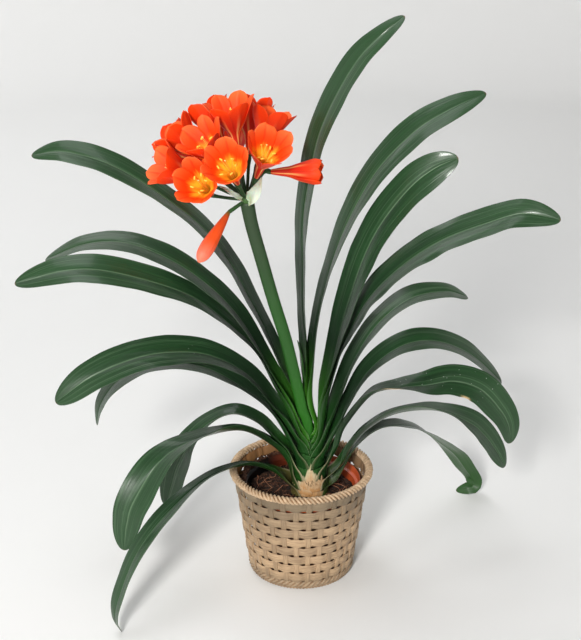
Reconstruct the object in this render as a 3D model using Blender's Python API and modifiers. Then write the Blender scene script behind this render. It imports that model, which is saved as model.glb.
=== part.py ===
"""A potted clivia in flower: a woven cover basket, the nursery pot and soil inside it, a short trunk, a
two-sided fan of strap leaves, and one scape with its umbel of orange blooms. Metres, +Z up. The origin is the
centre of the basket's underside, +X is the viewer's right and +Y points away from the viewer."""

from dataclasses import dataclass

import bmesh
import bpy
import numpy as np
from mathutils import Matrix, Vector

MM = 0.001
GAP = 0.0003

# Basket
BASKET_HEIGHT = 0.1236
BASKET_FOOT_RADIUS = 0.0615
BASKET_TOP_RADIUS = 0.0795
BASKET_WALL = 0.0030
BASKET_FLOOR = 0.0030
STAKES = 32
STAKE_TURN = np.radians(6.2)
BANDS = 9
FOOT_BRAID_HEIGHT = 0.0105
WEAVE_RELIEF = 0.0008
ROPE_RADIUS = 0.0047
ROPE_RING_RADIUS = 0.0803
ROPE_HEIGHT = 0.1280
ROPE_SEGMENTS = 68
ROPE_SIDES = 6

# Nursery pot and soil
POT_RIM_RADIUS = 0.0700
POT_TOP_RADIUS = 0.0672
POT_FOOT_RADIUS = 0.0510
POT_HEIGHT = 0.1150
POT_WALL = 0.0016
POT_FLOOR = 0.0020
POT_RIM_DROP = 0.0080
POT_BASE = BASKET_FLOOR + GAP
SOIL_TOP = 0.1000
SOIL_HUMP = 0.0025

# Trunk: leaves leave it in two ranks, left and right of its axis
NEST_AXIS = np.array([0.010, -0.005])
HEART_AXIS = np.array([0.010, -0.001])
TRUNK_FOOT = 0.0930
TRUNK_STEPS = ((0.0188, 0.1370), (0.0188, 0.1325), (0.0198, 0.1315), (0.0198, 0.1185), (0.0205, 0.1170))
TRUNK_FLARE = 0.0205
TRUNK_SHOULDER_RADIUS = 0.0157
TRUNK_SHOULDER = 0.1405
TRUNK_NECK_RADIUS = 0.0086
TRUNK_NECK = 0.1745
TRUNK_TOP = 0.1830

# Leaves
SHEATH_THICKNESS = 0.00062
BLADE_THICKNESS = 0.00100
CLASP_END = 0.020
PETIOLE_WIDTH = 0.58
PETIOLE_END = 0.050
WAIST_WIDTH = 0.64
SHOULDER_WIDTH = 0.84
WIDEST = 0.60
ROLL_PLACES = (0.20, 0.40, 0.60, 0.80, 0.95)
TIP_HALF_WIDTH = 0.0008
LEAF_RINGS = 14
LEAF_COLUMNS = 5

# Umbel
SCAPE_TOP = Vector((-0.0596, -0.0220, 0.4635))
PEDICEL_RADIUS = 0.0018
PEDICEL_ROOT = 0.0018
OVARY_RADIUS = 0.0023
OVARY_LENGTH = 0.0080
OVARY_LAP = 0.0008
KNOB_RADIUS = 0.0068
FLOWER_LENGTH = 0.060
PETAL_THICKNESS = 0.00065
STAMEN_THICKNESS = 0.0006
BRACT_THICKNESS = 0.0006


@dataclass(frozen=True)
class Leaf:
    """One strap leaf. Path points are millimetres. Rolls are degrees toward the viewer at ROLL_PLACES along it.
    Nest is the radius of its sheath round the trunk's axis, and start the height of its foot. Clasp is how much
    of the sheath is left at CLASP_END, and a higher taper gives a blunter tip."""

    name: str
    side: int
    nest: float
    start: float
    path: tuple
    width: float
    heading: float
    rolls: tuple
    wrap: float = 90.0
    heart: bool = False
    taper: float = 3.0

    @property
    def clasp(self):
        """The share of the sheath left at CLASP_END: the heart stays closed."""
        return 0.92 if self.heart else 0.62


LEAVES = (
    Leaf("leaf_young", -1, 2.5, 188,
         ((5.2, -1, 206), (1.5, -1, 240), (-1, -2, 270), (-5, -3, 292)), 12, 0, (0, 0, 0, 0, 0), heart=True),
    Leaf("leaf_right_1", 1, 3.65, 186,
         ((10, -1, 206), (7, 0, 260), (2, 1, 341), (1, 1, 420), (6, 1, 471), (16, 0, 523), (37, 0, 574),
          (59, 0, 611), (82, 0, 634), (106, 2, 654)), 42, 4, (15, 15, 19, 29, 38), heart=True),
    Leaf("leaf_left_1", -1, 4.7, 184.5,
         ((-15, 1, 236), (-36, 3, 290), (-59, 8, 338), (-82, 12, 382), (-126, 20, 433), (-204, 36, 482),
          (-262, 48, 498), (-303, 56, 492)), 44, 12, (8, 7, 3, 19, 40), heart=True),
    Leaf("leaf_right_2", 1, 10.2, 176,
         ((20, -5, 230), (20, -5, 280), (24, -4, 341), (38, -4, 400), (57, -1, 448), (84, 3, 492),
          (123, 10, 532), (160, 17, 553), (198, 24, 569)), 44, 10, (4, 0, 11, 29, 41)),
    Leaf("leaf_left_2", -1, 11.15, 172,
         ((-18, -6, 221), (-37, -6, 260), (-73, 1, 323), (-117, 15, 361), (-161, 30, 384), (-206, 45, 393),
          (-253, 59, 386), (-299, 72, 363)), 44, 16, (2, 6, 8, 14, 22)),
    Leaf("leaf_right_3", 1, 12.1, 168,
         ((28, -5, 225), (38, -5, 279), (52, -5, 340), (68, -7, 391), (88, -9, 435), (115, -12, 472),
          (141, -14, 495), (166, -17, 508)), 48, -6, (23, 36, 37, 44, 70), taper=4),
    Leaf("leaf_left_3", -1, 13.05, 164,
         ((-24, -5, 221), (-49, -5, 275), (-72, -5, 304), (-115, -8, 342), (-169, -15, 368),
          (-224, -22, 383), (-267, -25, 382), (-315, -28, 369)), 46, -4, (15, 13, 19, 29, 38)),
    Leaf("leaf_right_4", 1, 14, 160,
         ((31, -5, 222), (39, -6, 263), (48, -7, 291), (74, -10, 344), (109, -17, 386), (151, -26, 418),
          (197, -38, 442), (234, -47, 455), (272, -57, 451)), 46, -14, (32, 34, 29, 31, 54)),
    Leaf("leaf_left_4", -1, 14.95, 156,
         ((-19, -5, 188), (-33, -6, 212), (-61, -8, 251), (-105, -15, 279), (-149, -22, 285),
          (-193, -30, 279), (-237, -37, 261), (-276, -44, 233)), 48, -10, (28, 22, 24, 32, 50)),
    Leaf("leaf_right_5", 1, 15.9, 152,
         ((34, -5, 190), (44, -5, 225), (60, -3, 269), (87, 3, 310), (123, 16, 336), (164, 30, 339),
          (192, 41, 328)), 42, 20, (10, 0, -2, 9, 18)),
    Leaf("leaf_left_5", -1, 16.85, 148,
         ((-24, -5, 186), (-40, -4, 210), (-63, -2, 230), (-90, 1, 247), (-118, 7, 256), (-150, 15, 257),
          (-185, 27, 245), (-219, 37, 221), (-240, 44, 190), (-246, 46, 162)), 40, 17, (-1, 8, 13, 29, 39)),
    Leaf("leaf_right_6", 1, 17.8, 144,
         ((46, -5, 192), (54, -5, 213), (76, -3, 254), (111, 5, 280), (151, 13, 285), (193, 22, 267),
          (236, 32, 224)), 42, 12, (8, 11, 14, 19, 26)),
    Leaf("leaf_left_6", -1, 20, 134,
         ((-20, -5, 156), (-34, -5, 174), (-52, -4, 192), (-78, -2, 201), (-105, 3, 187), (-130, 7, 159),
          (-147, 9, 126), (-155, 10, 99), (-163, 11, 71)), 40, 8, (12, 0, 22, 60, 70), wrap=60),
    Leaf("leaf_right_7", 1, 20, 134,
         ((43, -5, 160), (52, -5, 186), (80, -8, 226), (111, -11, 237), (142, -15, 242), (173, -19, 248),
          (203, -23, 240), (226, -26, 217), (237, -27, 197), (240, -27, 174)), 44, -7, (-9, -9, 24, 47, 53),
          wrap=60),
    Leaf("leaf_left_7", -1, 21.2, 120,
         ((-18, -7, 142), (-35, -13, 165), (-70, -33, 194), (-114, -58, 197), (-156, -83, 181),
          (-186, -100, 140), (-195, -106, 112), (-199, -109, 82)), 44, -30, (0, -21, -2, 39, 48), wrap=60),
    Leaf("leaf_right_8", 1, 21.2, 120,
         ((49, -5, 138), (59, -3, 157), (79, 2, 179), (113, 12, 195), (158, 24, 192), (201, 37, 170),
          (221, 42, 151), (237, 47, 127), (250, 51, 103)), 42, 16, (-25, -25, -1, 43, 58), wrap=60),
    Leaf("leaf_left_8", -1, 22.4, 105,
         ((-24, -11, 122), (-38, -22, 137), (-67, -45, 155), (-108, -76, 153), (-150, -109, 128),
          (-182, -134, 91), (-202, -149, 46), (-206, -151, 20), (-201, -147, 0.7)), 30, -36,
          (-16, -16, -2, -7, -6), wrap=60),
    Leaf("leaf_right_9", 1, 22.4, 105,
         ((43, -2, 117), (67, 26, 145), (102, 59, 154), (150, 104, 127), (196, 146, 76), (219, 165, 40),
          (231, 174, 20), (231, 173, 10), (224, 172, 7.5), (209, 175, 2)), 32, 42, (-16, 10, 0, -23, -24),
          wrap=60),
)


@dataclass(frozen=True)
class Bloom:
    """One flower. Stalk is where its foot lies from the scape's top, in millimetres. Open is 1 for a wide one."""

    name: str
    stalk: tuple
    aim: tuple
    spin: float
    open: float = 1.0
    stamens: bool = True

    def foot(self):
        """Where the stalk ends and the flower begins."""
        return SCAPE_TOP + Vector(self.stalk) * MM

    def axis(self):
        """The way the flower faces."""
        return Vector(self.aim).normalized()


BLOOMS = (
    Bloom("bloom_1", (-8, -34, 27), (-0.19, -0.77, 0.62), 84),
    Bloom("bloom_2", (-37, -11, 9), (-0.23, -0.85, 0.48), 38),
    Bloom("bloom_3", (-20, -16, 34), (-0.48, -0.38, 0.79), 11),
    Bloom("bloom_4", (-41, -12, 21), (-0.86, -0.26, 0.44), 85),
    Bloom("bloom_5", (-38, 3, 36), (-0.72, 0.06, 0.69), 100),
    Bloom("bloom_6", (-21, 19, 44), (-0.41, 0.36, 0.84), 66),
    Bloom("bloom_7", (-8, -6, 52), (-0.16, -0.12, 0.98), 63),
    Bloom("bloom_8", (2, 25, 42), (0.04, 0.51, 0.86), 79),
    Bloom("bloom_9", (12, 7, 38), (0.29, 0.16, 0.94), 108),
    Bloom("bloom_10", (11, -24, 31), (0.26, -0.60, 0.76), 106),
    Bloom("bloom_11", (-43, 25, 27), (-0.77, 0.44, 0.47), 50),
    Bloom("bloom_12", (-11, 46, 23), (-0.21, 0.87, 0.44), 90),
    Bloom("bloom_13", (26, -17, 35), (0.99, -0.15, 0.05), 30, 0.35, stamens=False),
)
BUD_FOOT = SCAPE_TOP + Vector((-18.5, -11, -10)) * MM
BUD_AIM = Vector((-0.47, -0.59, -0.655)).normalized()
BUD_SEAT = 0.0012
BUD_LENGTH = 0.066
BUD_RADII_MM = (2.0, 4.4, 6.2, 7.8, 8.9, 8.2, 3.2)

# Bracts: path and width in millimetres
BRACTS = {
    "bract_right": (((-54.5, -29.5, 462), (-49.5, -38, 472), (-46.5, -42, 483), (-43, -46, 494)), 11),
    "bract_left": (((-65, -27, 466), (-73, -37, 473), (-80, -40, 479), (-88, -42, 484)), 6),
}


def new_collection(name):
    """A collection of the scene, for the part's own objects."""
    collection = bpy.data.collections.new(name)
    bpy.context.scene.collection.children.link(collection)
    return collection


def material(name, colour, roughness):
    """A plain Principled material."""
    made = bpy.data.materials.new(name)
    made.use_nodes = True
    shader = made.node_tree.nodes["Principled BSDF"]
    shader.inputs["Base Color"].default_value = (*colour, 1)
    shader.inputs["Roughness"].default_value = roughness
    made.diffuse_color = (*colour, 1)
    return made


def add_object(name, mesh, finish, home):
    """A named object of the mesh, in the part's collection."""
    piece = bpy.data.objects.new(name, mesh)
    piece.data.materials.append(finish)
    home.objects.link(piece)
    return piece


def grid_bmesh(points, close_across=False):
    """A grid of quads whose corners are points[i, j]; with close_across its last column meets its first."""
    rows, columns = points.shape[:2]
    shape = bmesh.new()
    bmesh.ops.create_grid(shape, x_segments=rows - 1, y_segments=columns - 1 + close_across, size=1)
    shape.verts.ensure_lookup_table()
    order = sorted(range(len(shape.verts)),
                   key=lambda i: (round(shape.verts[i].co.x, 4), round(shape.verts[i].co.y, 4)))
    for place, index in enumerate(order):
        row, column = divmod(place, columns + close_across)
        shape.verts[index].co = points[row, column % columns]
    if close_across:
        bmesh.ops.remove_doubles(shape, verts=shape.verts, dist=1e-7)
    return shape


def mesh_of(shape, name):
    """The bmesh as mesh data, with its faces pointing out."""
    mesh = bpy.data.meshes.new(name)
    shape.to_mesh(mesh)
    shape.free()
    return mesh


def spline_through(points, samples):
    """Points at shares of a Catmull-Rom curve through the given ones, with its unit tangents and length."""
    ends = np.vstack([2 * points[0] - points[1], points, 2 * points[-1] - points[-2]])
    dense = []
    for i in range(1, len(ends) - 2):
        t = np.linspace(0, 1, 40, endpoint=False)[:, None]
        p0, p1, p2, p3 = ends[i - 1:i + 3]
        dense.append(0.5 * (2 * p1 + (p2 - p0) * t + (2 * p0 - 5 * p1 + 4 * p2 - p3) * t ** 2
                            + (3 * p1 - p0 - 3 * p2 + p3) * t ** 3))
    dense = np.vstack(dense + [points[-1:]])
    along = np.concatenate([[0], np.cumsum(np.linalg.norm(np.diff(dense, axis=0), axis=1))])
    at = samples * along[-1]
    place = np.stack([np.interp(at, along, dense[:, k]) for k in range(3)], 1)
    step = 0.004
    ahead = np.stack([np.interp(np.minimum(at + step, along[-1]), along, dense[:, k]) for k in range(3)], 1)
    behind = np.stack([np.interp(np.maximum(at - step, 0), along, dense[:, k]) for k in range(3)], 1)
    tangent = ahead - behind
    return place, tangent / np.linalg.norm(tangent, axis=1)[:, None], along[-1]


def unit(vectors):
    """Each row scaled to length one."""
    return vectors / np.linalg.norm(vectors, axis=-1, keepdims=True)


def ring_places():
    """Where a leaf's rings lie, as shares of its length: close together in the sheath and near the tip."""
    sheath = [0, 0.035, 0.075, 0.13]
    tip = [0.92, 0.965, 1.0]
    return np.concatenate([sheath, np.linspace(0.21, 0.87, LEAF_RINGS - len(sheath) - len(tip)), tip])


def leaf_points(leaf, rings, columns):
    """The mid surface of a strap leaf: a gutter that wraps the trunk at its foot, opens, and rolls over."""
    axis = HEART_AXIS if leaf.heart else NEST_AXIS
    foot = np.array([axis[0] + leaf.side * leaf.nest * MM, axis[1], leaf.start * MM])
    rise = np.array([leaf.side * 0.0006, 0, 0.010])
    path = np.vstack([foot, foot + rise, np.array(leaf.path) * MM])
    middle, tangent, length = spline_through(path, rings)
    run = rings * length
    half = leaf.width * MM / 2
    wrap = np.radians(leaf.wrap)
    foot_half = leaf.nest * MM * wrap
    width = np.interp(run, [0, CLASP_END, PETIOLE_END, 0.28 * length, 0.45 * length, WIDEST * length],
                      [foot_half, leaf.clasp * foot_half, PETIOLE_WIDTH * half, WAIST_WIDTH * half,
                       SHOULDER_WIDTH * half, half])
    beyond = np.clip((rings - WIDEST) / (1 - WIDEST), 0, 1)
    width = np.maximum(width * np.sqrt(1 - beyond ** leaf.taper), TIP_HALF_WIDTH)
    gutter = np.interp(run, [0, CLASP_END, PETIOLE_END, 0.10, 0.18, 0.30],
                       [wrap, wrap * leaf.clasp, 1.25, 0.85, 0.45, 0.24])
    turn = np.radians(leaf.heading) * np.clip((run - 0.02) / 0.06, 0, 1)
    across = np.stack([-leaf.side * np.sin(turn), np.cos(turn), 0 * turn], 1)
    across = unit(across - tangent * np.sum(across * tangent, 1)[:, None])
    inward = unit(np.cross(tangent, across) * leaf.side)
    roll = np.radians(np.interp(rings, [0, 0.10, *ROLL_PLACES], [0, 0, *leaf.rolls]))
    lean = roll[:, None]
    across_turned = np.cos(lean) * across + np.sin(lean) * inward
    inward_turned = np.cos(lean) * inward - np.sin(lean) * across
    share = np.linspace(-1, 1, columns)[None, :, None]
    bend = gutter[:, None, None] * share
    radius = (width / gutter)[:, None, None]
    return (middle[:, None] + radius * np.sin(bend) * across_turned[:, None]
            + radius * (1 - np.cos(bend)) * inward_turned[:, None])


def add_leaf(leaf, finish, home):
    """A strap leaf as an open surface that Solidify makes thick, thinner in its sheath than in its blade."""
    rings = ring_places()
    points = leaf_points(leaf, rings, LEAF_COLUMNS)
    shape = grid_bmesh(points)
    bmesh.ops.triangulate(shape, faces=shape.faces)
    piece = add_object(leaf.name, mesh_of(shape, leaf.name), finish, home)
    blade = piece.vertex_groups.new(name="blade")
    flat = points.reshape(-1, 3)
    for vertex in piece.data.vertices:
        row = int(np.argmin(np.linalg.norm(flat - np.array(vertex.co), axis=1))) // LEAF_COLUMNS
        blade.add([vertex.index], float(np.clip((rings[row] - 0.15) / 0.2, 0, 1)), "REPLACE")
    solid = piece.modifiers.new("thickness", "SOLIDIFY")
    solid.thickness = BLADE_THICKNESS
    solid.offset = 0
    solid.vertex_group = blade.name
    solid.thickness_vertex_group = SHEATH_THICKNESS / BLADE_THICKNESS
    return piece


def turned(name, profile, segments, finish, home):
    """A solid turned round Z from a profile of (radius, height) points that runs down its outer side."""
    shape = bmesh.new()
    corners = [shape.verts.new((radius, 0, height)) for radius, height in profile]
    for first, second in zip(corners, corners[1:]):
        shape.edges.new((first, second))
    piece = add_object(name, mesh_of(shape, name), finish, home)
    screw = piece.modifiers.new("turn", "SCREW")
    screw.steps = segments
    screw.render_steps = segments
    screw.use_merge_vertices = True
    screw.merge_threshold = 1e-6
    return piece


def basket_radius(height):
    """The wall's plain outer radius at a height."""
    return BASKET_FOOT_RADIUS + (BASKET_TOP_RADIUS - BASKET_FOOT_RADIUS) * height / BASKET_HEIGHT


def add_basket_wall(finish, home):
    """The woven cup. Its outside goes over and under at every stake, above a slanted foot braid."""
    columns = 2 * STAKES
    angle = STAKE_TURN + 2 * np.pi * np.arange(columns) / columns
    band = (BASKET_HEIGHT - FOOT_BRAID_HEIGHT) / BANDS
    heights = [0.0, FOOT_BRAID_HEIGHT * 0.5, FOOT_BRAID_HEIGHT]
    braid = 0.0008 + 0.0004 * (-1.0) ** np.arange(columns)
    reliefs = [np.full(columns, -0.0006), braid, np.full(columns, -0.0006)]
    for index in range(BANDS):
        over = np.where(np.arange(columns) % 2 == 0,
                        np.where((np.arange(columns) // 2 + index) % 2 == 0, 1.0, 0.45), -0.2)
        heights.append(FOOT_BRAID_HEIGHT + (index + 0.5) * band)
        reliefs.append(WEAVE_RELIEF * over)
        heights.append(FOOT_BRAID_HEIGHT + (index + 1) * band)
        reliefs.append(np.full(columns, -0.5 * WEAVE_RELIEF))
    rings = [np.stack([(basket_radius(z) + d) * np.cos(angle), (basket_radius(z) + d) * np.sin(angle),
                       np.full(columns, z)], 1) for z, d in zip(heights, reliefs)]
    inner = [BASKET_HEIGHT, BASKET_HEIGHT * 0.5, BASKET_FLOOR]
    for z in inner:
        radius = basket_radius(z) - BASKET_WALL
        rings.append(np.stack([radius * np.cos(angle), radius * np.sin(angle), np.full(columns, z)], 1))
    shape = grid_bmesh(np.array(rings), close_across=True)
    for z in (0.0, BASKET_FLOOR):
        edges = [e for e in shape.edges if e.is_boundary and all(abs(v.co.z - z) < 1e-6 for v in e.verts)]
        bmesh.ops.contextual_create(shape, geom=edges)
    bmesh.ops.recalc_face_normals(shape, faces=shape.faces)
    return add_object("basket_wall", mesh_of(shape, "basket_wall"), finish, home)


def add_basket_rope(finish, home):
    """The rope rim: a ring whose three-lobed section turns as it goes round."""
    around = 2 * np.pi * np.arange(ROPE_SEGMENTS) / ROPE_SEGMENTS
    section = 2 * np.pi * np.arange(ROPE_SIDES) / ROPE_SIDES
    lay = ROPE_SEGMENTS / 2
    big, small = np.meshgrid(around, section, indexing="ij")
    radius = ROPE_RADIUS * (0.93 + 0.07 * np.cos(3 * small + lay * big))
    reach = ROPE_RING_RADIUS + radius * np.cos(small)
    points = np.stack([reach * np.cos(big), reach * np.sin(big), ROPE_HEIGHT + radius * np.sin(small)], -1)
    points = np.vstack([points, points[:1]])
    shape = grid_bmesh(points, close_across=True)
    bmesh.ops.remove_doubles(shape, verts=shape.verts, dist=1e-6)
    bmesh.ops.recalc_face_normals(shape, faces=shape.faces)
    return add_object("basket_rope_rim", mesh_of(shape, "basket_rope_rim"), finish, home)


def pot_inner_radius(height):
    """The nursery pot's inner radius at a height."""
    share = (height - POT_BASE - POT_FLOOR) / (POT_HEIGHT - POT_BASE - POT_FLOOR)
    return POT_FOOT_RADIUS - POT_WALL + (POT_TOP_RADIUS - POT_FOOT_RADIUS) * share


def add_pot(finish, home):
    """The plastic nursery pot, with its turned-out rim band."""
    top = POT_HEIGHT
    inner_foot = POT_BASE + POT_FLOOR
    profile = [(0, inner_foot), (pot_inner_radius(inner_foot), inner_foot), (pot_inner_radius(top), top),
               (POT_RIM_RADIUS, top), (POT_RIM_RADIUS, top - POT_RIM_DROP),
               (POT_TOP_RADIUS - 0.001, top - POT_RIM_DROP), (POT_FOOT_RADIUS, POT_BASE), (0, POT_BASE)]
    return turned("nursery_pot", profile, 40, finish, home)


def add_soil(finish, home):
    """The soil: a humped plug in the pot, with a plain hole that the trunk stands in."""
    foot = POT_BASE + POT_FLOOR + GAP
    profile = [(0, SOIL_TOP + SOIL_HUMP), (0.012, SOIL_TOP + SOIL_HUMP), (0.030, SOIL_TOP + SOIL_HUMP),
               (0.048, SOIL_TOP + 0.001), (pot_inner_radius(SOIL_TOP) - 2 * GAP, SOIL_TOP),
               (pot_inner_radius(foot) - 2 * GAP, foot), (0, foot)]
    piece = turned("soil", profile, 36, finish, home)
    settled = bpy.data.meshes.new_from_object(piece.evaluated_get(bpy.context.evaluated_depsgraph_get()))
    bpy.data.objects.remove(piece)
    shape = bmesh.new()
    shape.from_mesh(settled)
    bmesh.ops.remove_doubles(shape, verts=shape.verts, dist=1e-6)
    for vertex in shape.verts:
        x, y, z = vertex.co
        away = np.hypot(x, y)
        if z > 0.09 and away < 0.060:
            vertex.co.z += 0.0012 * np.sin(220 * x + 1.3) * np.sin(190 * y + 0.4)
    bmesh.ops.recalc_face_normals(shape, faces=shape.faces)
    soil = add_object("soil", mesh_of(shape, "soil"), finish, home)
    cutters = new_collection("cutters")
    hole = bmesh.new()
    bmesh.ops.create_cone(hole, cap_ends=True, segments=32, radius1=TRUNK_FLARE + 2 * GAP,
                          radius2=TRUNK_FLARE + 2 * GAP, depth=0.020,
                          matrix=Matrix.Translation((*NEST_AXIS, TRUNK_FOOT - GAP + 0.010)))
    cutter = bpy.data.objects.new("trunk_hole", mesh_of(hole, "trunk_hole"))
    cutter.hide_render = True
    cutter.display_type = "WIRE"
    cutters.objects.link(cutter)
    cut = soil.modifiers.new("trunk hole", "BOOLEAN")
    cut.object = cutter
    cut.operation = "DIFFERENCE"
    return soil


def add_trunk(finish, home):
    """The short trunk: stepped where old leaves have left it, then a cone that the sheaths stand round."""
    cone = [(0, TRUNK_TOP), (TRUNK_NECK_RADIUS, TRUNK_TOP), (TRUNK_NECK_RADIUS, TRUNK_NECK),
            (TRUNK_SHOULDER_RADIUS, TRUNK_SHOULDER)]
    profile = [*cone, *TRUNK_STEPS, (TRUNK_FLARE, TRUNK_FOOT), (0, TRUNK_FOOT)]
    trunk = turned("trunk", profile, 24, finish, home)
    trunk.location = (*NEST_AXIS, 0)
    return trunk


def petal_rows(bloom):
    """Distance along the flower, radius, half sector in degrees and step between the whorls, row by row."""
    wide = bloom.open
    return [(0.0, 0.0026, 30.0, 0.0), (0.27 * FLOWER_LENGTH, 0.0052, 30.0, 0.0),
            (0.57 * FLOWER_LENGTH, 0.0062 + 0.0070 * wide, 29.0, 0.0007),
            (0.81 * FLOWER_LENGTH, 0.0068 + 0.0128 * wide, 29.0, 0.0010),
            (0.99 * FLOWER_LENGTH, 0.0064 + 0.0168 * wide, 13.0, 0.0010)]


def whorl(rows, columns, spin, count=6):
    """Grids of the lobes of a funnel round +Z. Neighbours meet at their edges in the first two rows."""
    lobes = []
    for lobe in range(count):
        outer = lobe % 2
        middle = 2 * np.pi * lobe / count + np.radians(spin)
        grid = []
        for along, radius, half, step in rows:
            reach = radius + (step if outer else -step)
            angle = middle + np.radians(half) * np.linspace(-1, 1, columns)
            grid.append(np.stack([reach * np.cos(angle), reach * np.sin(angle), np.full(columns, along)], 1))
        lobes.append(np.array(grid))
    return lobes


def add_whorl(name, lobes, foot, aim, thickness, finish, home):
    """Lobe grids welded into one funnel, closed at its foot, made thick, and turned to its aim."""
    shape = bmesh.new()
    for grid in lobes:
        lobe = grid_bmesh(grid)
        scrap = mesh_of(lobe, "lobe")
        shape.from_mesh(scrap)
        bpy.data.meshes.remove(scrap)
    bmesh.ops.remove_doubles(shape, verts=shape.verts, dist=1e-6)
    foot_height = lobes[0][0, 0, 2] + 1e-6
    ring = [edge for edge in shape.edges
            if edge.is_boundary and all(vertex.co.z < foot_height for vertex in edge.verts)]
    bmesh.ops.contextual_create(shape, geom=ring)
    bmesh.ops.recalc_face_normals(shape, faces=shape.faces)
    bmesh.ops.triangulate(shape, faces=shape.faces)
    turn = Vector((0, 0, 1)).rotation_difference(aim).to_matrix().to_4x4()
    bmesh.ops.transform(shape, matrix=Matrix.Translation(foot) @ turn, verts=shape.verts)
    piece = add_object(name, mesh_of(shape, name), finish, home)
    solid = piece.modifiers.new("thickness", "SOLIDIFY")
    solid.thickness = thickness
    solid.offset = 0
    return piece


def add_bloom(bloom, petal, pollen, home):
    """One flower, and the bundle of stamens in its throat."""
    aim = bloom.axis()
    foot = bloom.foot() + aim * (PETAL_THICKNESS / 2 + GAP)
    add_whorl(bloom.name, whorl(petal_rows(bloom), 3, bloom.spin), foot, aim, PETAL_THICKNESS, petal, home)
    if not bloom.stamens:
        return
    rows = [(0.0010, 0.0012, 30.0, 0.0), (0.012, 0.0014, 30.0, 0.0),
            (0.036, 0.0030 + 0.0035 * bloom.open, 6.0, 0.0), (0.043, 0.0045 + 0.0045 * bloom.open, 8.0, 0.0)]
    stamens = whorl(rows, 2, bloom.spin + 30)
    add_whorl(bloom.name + "_stamens", stamens, foot, aim, STAMEN_THICKNESS, pollen, home)


def cone_between(start, end, first, second, sides):
    """A straight tapered stick from start to end, as a bmesh."""
    shape = bmesh.new()
    line = end - start
    turn = Vector((0, 0, 1)).rotation_difference(line).to_matrix().to_4x4()
    place = Matrix.Translation((start + end) / 2) @ turn
    bmesh.ops.create_cone(shape, cap_ends=True, segments=sides, radius1=first, radius2=second,
                          depth=line.length, matrix=place)
    return shape


def scape_body():
    """The flattened flower stalk, a closed tube of oval section along its curve."""
    route = np.array([(8, -9.6, 0), (7, -10, 194), (2, -13, 211), (-7, -17, 249), (-15, -17.8, 286),
                      (-32, -19.6, 347), (-42, -20.3, 377), (-51, -21.2, 417), (-59, -21.8, 449),
                      (-59.5, -22, 461)]) * MM
    route[0, 2] = TRUNK_TOP + GAP
    middle, tangent, _ = spline_through(route, np.linspace(0, 1, 10))
    tangent[0] = (0, 0, 1)
    broad = unit(np.cross(np.array([0, -1.0, 0]), tangent)) * -1
    thin = np.cross(tangent, broad)
    angle = 2 * np.pi * np.arange(8) / 8
    half_widths = np.interp(middle[:, 2], [TRUNK_TOP, 0.25, 0.44, 0.46], [0.0052, 0.0057, 0.0050, 0.0058])
    rings = [m + w * np.cos(angle)[:, None] * b + 0.0032 * np.sin(angle)[:, None] * t
             for m, w, b, t in zip(middle, half_widths, broad, thin)]
    shape = grid_bmesh(np.array(rings), close_across=True)
    bmesh.ops.holes_fill(shape, edges=[edge for edge in shape.edges if edge.is_boundary])
    bmesh.ops.recalc_face_normals(shape, faces=shape.faces)
    return shape


def pedicel_to(end, sides):
    """The mesh of a flower's stalk, from inside the scape's knob to its end."""
    root = SCAPE_TOP - (end - SCAPE_TOP).normalized() * PEDICEL_ROOT
    return mesh_of(cone_between(root, end, PEDICEL_RADIUS, PEDICEL_RADIUS, sides), "pedicel")


def add_scape(finish, home):
    """The scape and every pedicel, joined into one solid."""
    sticks = new_collection("pedicels")
    for bloom in BLOOMS:
        knee = bloom.foot() - bloom.axis() * OVARY_LENGTH
        ovary = cone_between(knee - bloom.axis() * OVARY_LAP, bloom.foot(), OVARY_RADIUS, OVARY_RADIUS, 6)
        sticks.objects.link(bpy.data.objects.new(bloom.name + "_pedicel", pedicel_to(knee, 6)))
        sticks.objects.link(bpy.data.objects.new(bloom.name + "_ovary", mesh_of(ovary, "ovary")))
    sticks.objects.link(bpy.data.objects.new("bud_pedicel", pedicel_to(BUD_FOOT, 7)))
    knob = bmesh.new()
    bmesh.ops.create_icosphere(knob, subdivisions=1, radius=KNOB_RADIUS, matrix=Matrix.Translation(SCAPE_TOP))
    sticks.objects.link(bpy.data.objects.new("knob", mesh_of(knob, "knob")))
    scape = add_object("scape_and_pedicels", mesh_of(scape_body(), "scape_and_pedicels"), finish, home)
    join = scape.modifiers.new("join", "BOOLEAN")
    join.operation = "UNION"
    join.operand_type = "COLLECTION"
    join.collection = sticks
    joined = bpy.data.meshes.new_from_object(scape.evaluated_get(bpy.context.evaluated_depsgraph_get()))
    scape.modifiers.clear()
    scape.data = joined
    for stick in list(sticks.objects):
        bpy.data.objects.remove(stick)
    bpy.data.collections.remove(sticks)
    return scape


def add_bud(finish, home):
    """The closed bud that hangs below the umbel: a curve whose radius swells and closes to a blunt tip."""
    line = bpy.data.curves.new("bud_closed", "CURVE")
    line.dimensions = "3D"
    line.bevel_depth = MM
    line.bevel_resolution = 2
    line.use_fill_caps = True
    spline = line.splines.new("POLY")
    spline.points.add(len(BUD_RADII_MM) - 1)
    start = BUD_FOOT + BUD_AIM * BUD_SEAT
    for index, (point, radius) in enumerate(zip(spline.points, BUD_RADII_MM)):
        point.co = (*(start + BUD_AIM * (BUD_LENGTH * index / (len(BUD_RADII_MM) - 1))), 1)
        point.radius = radius
    line.materials.append(finish)
    bud = bpy.data.objects.new("bud_closed", line)
    home.objects.link(bud)
    return bud


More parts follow.
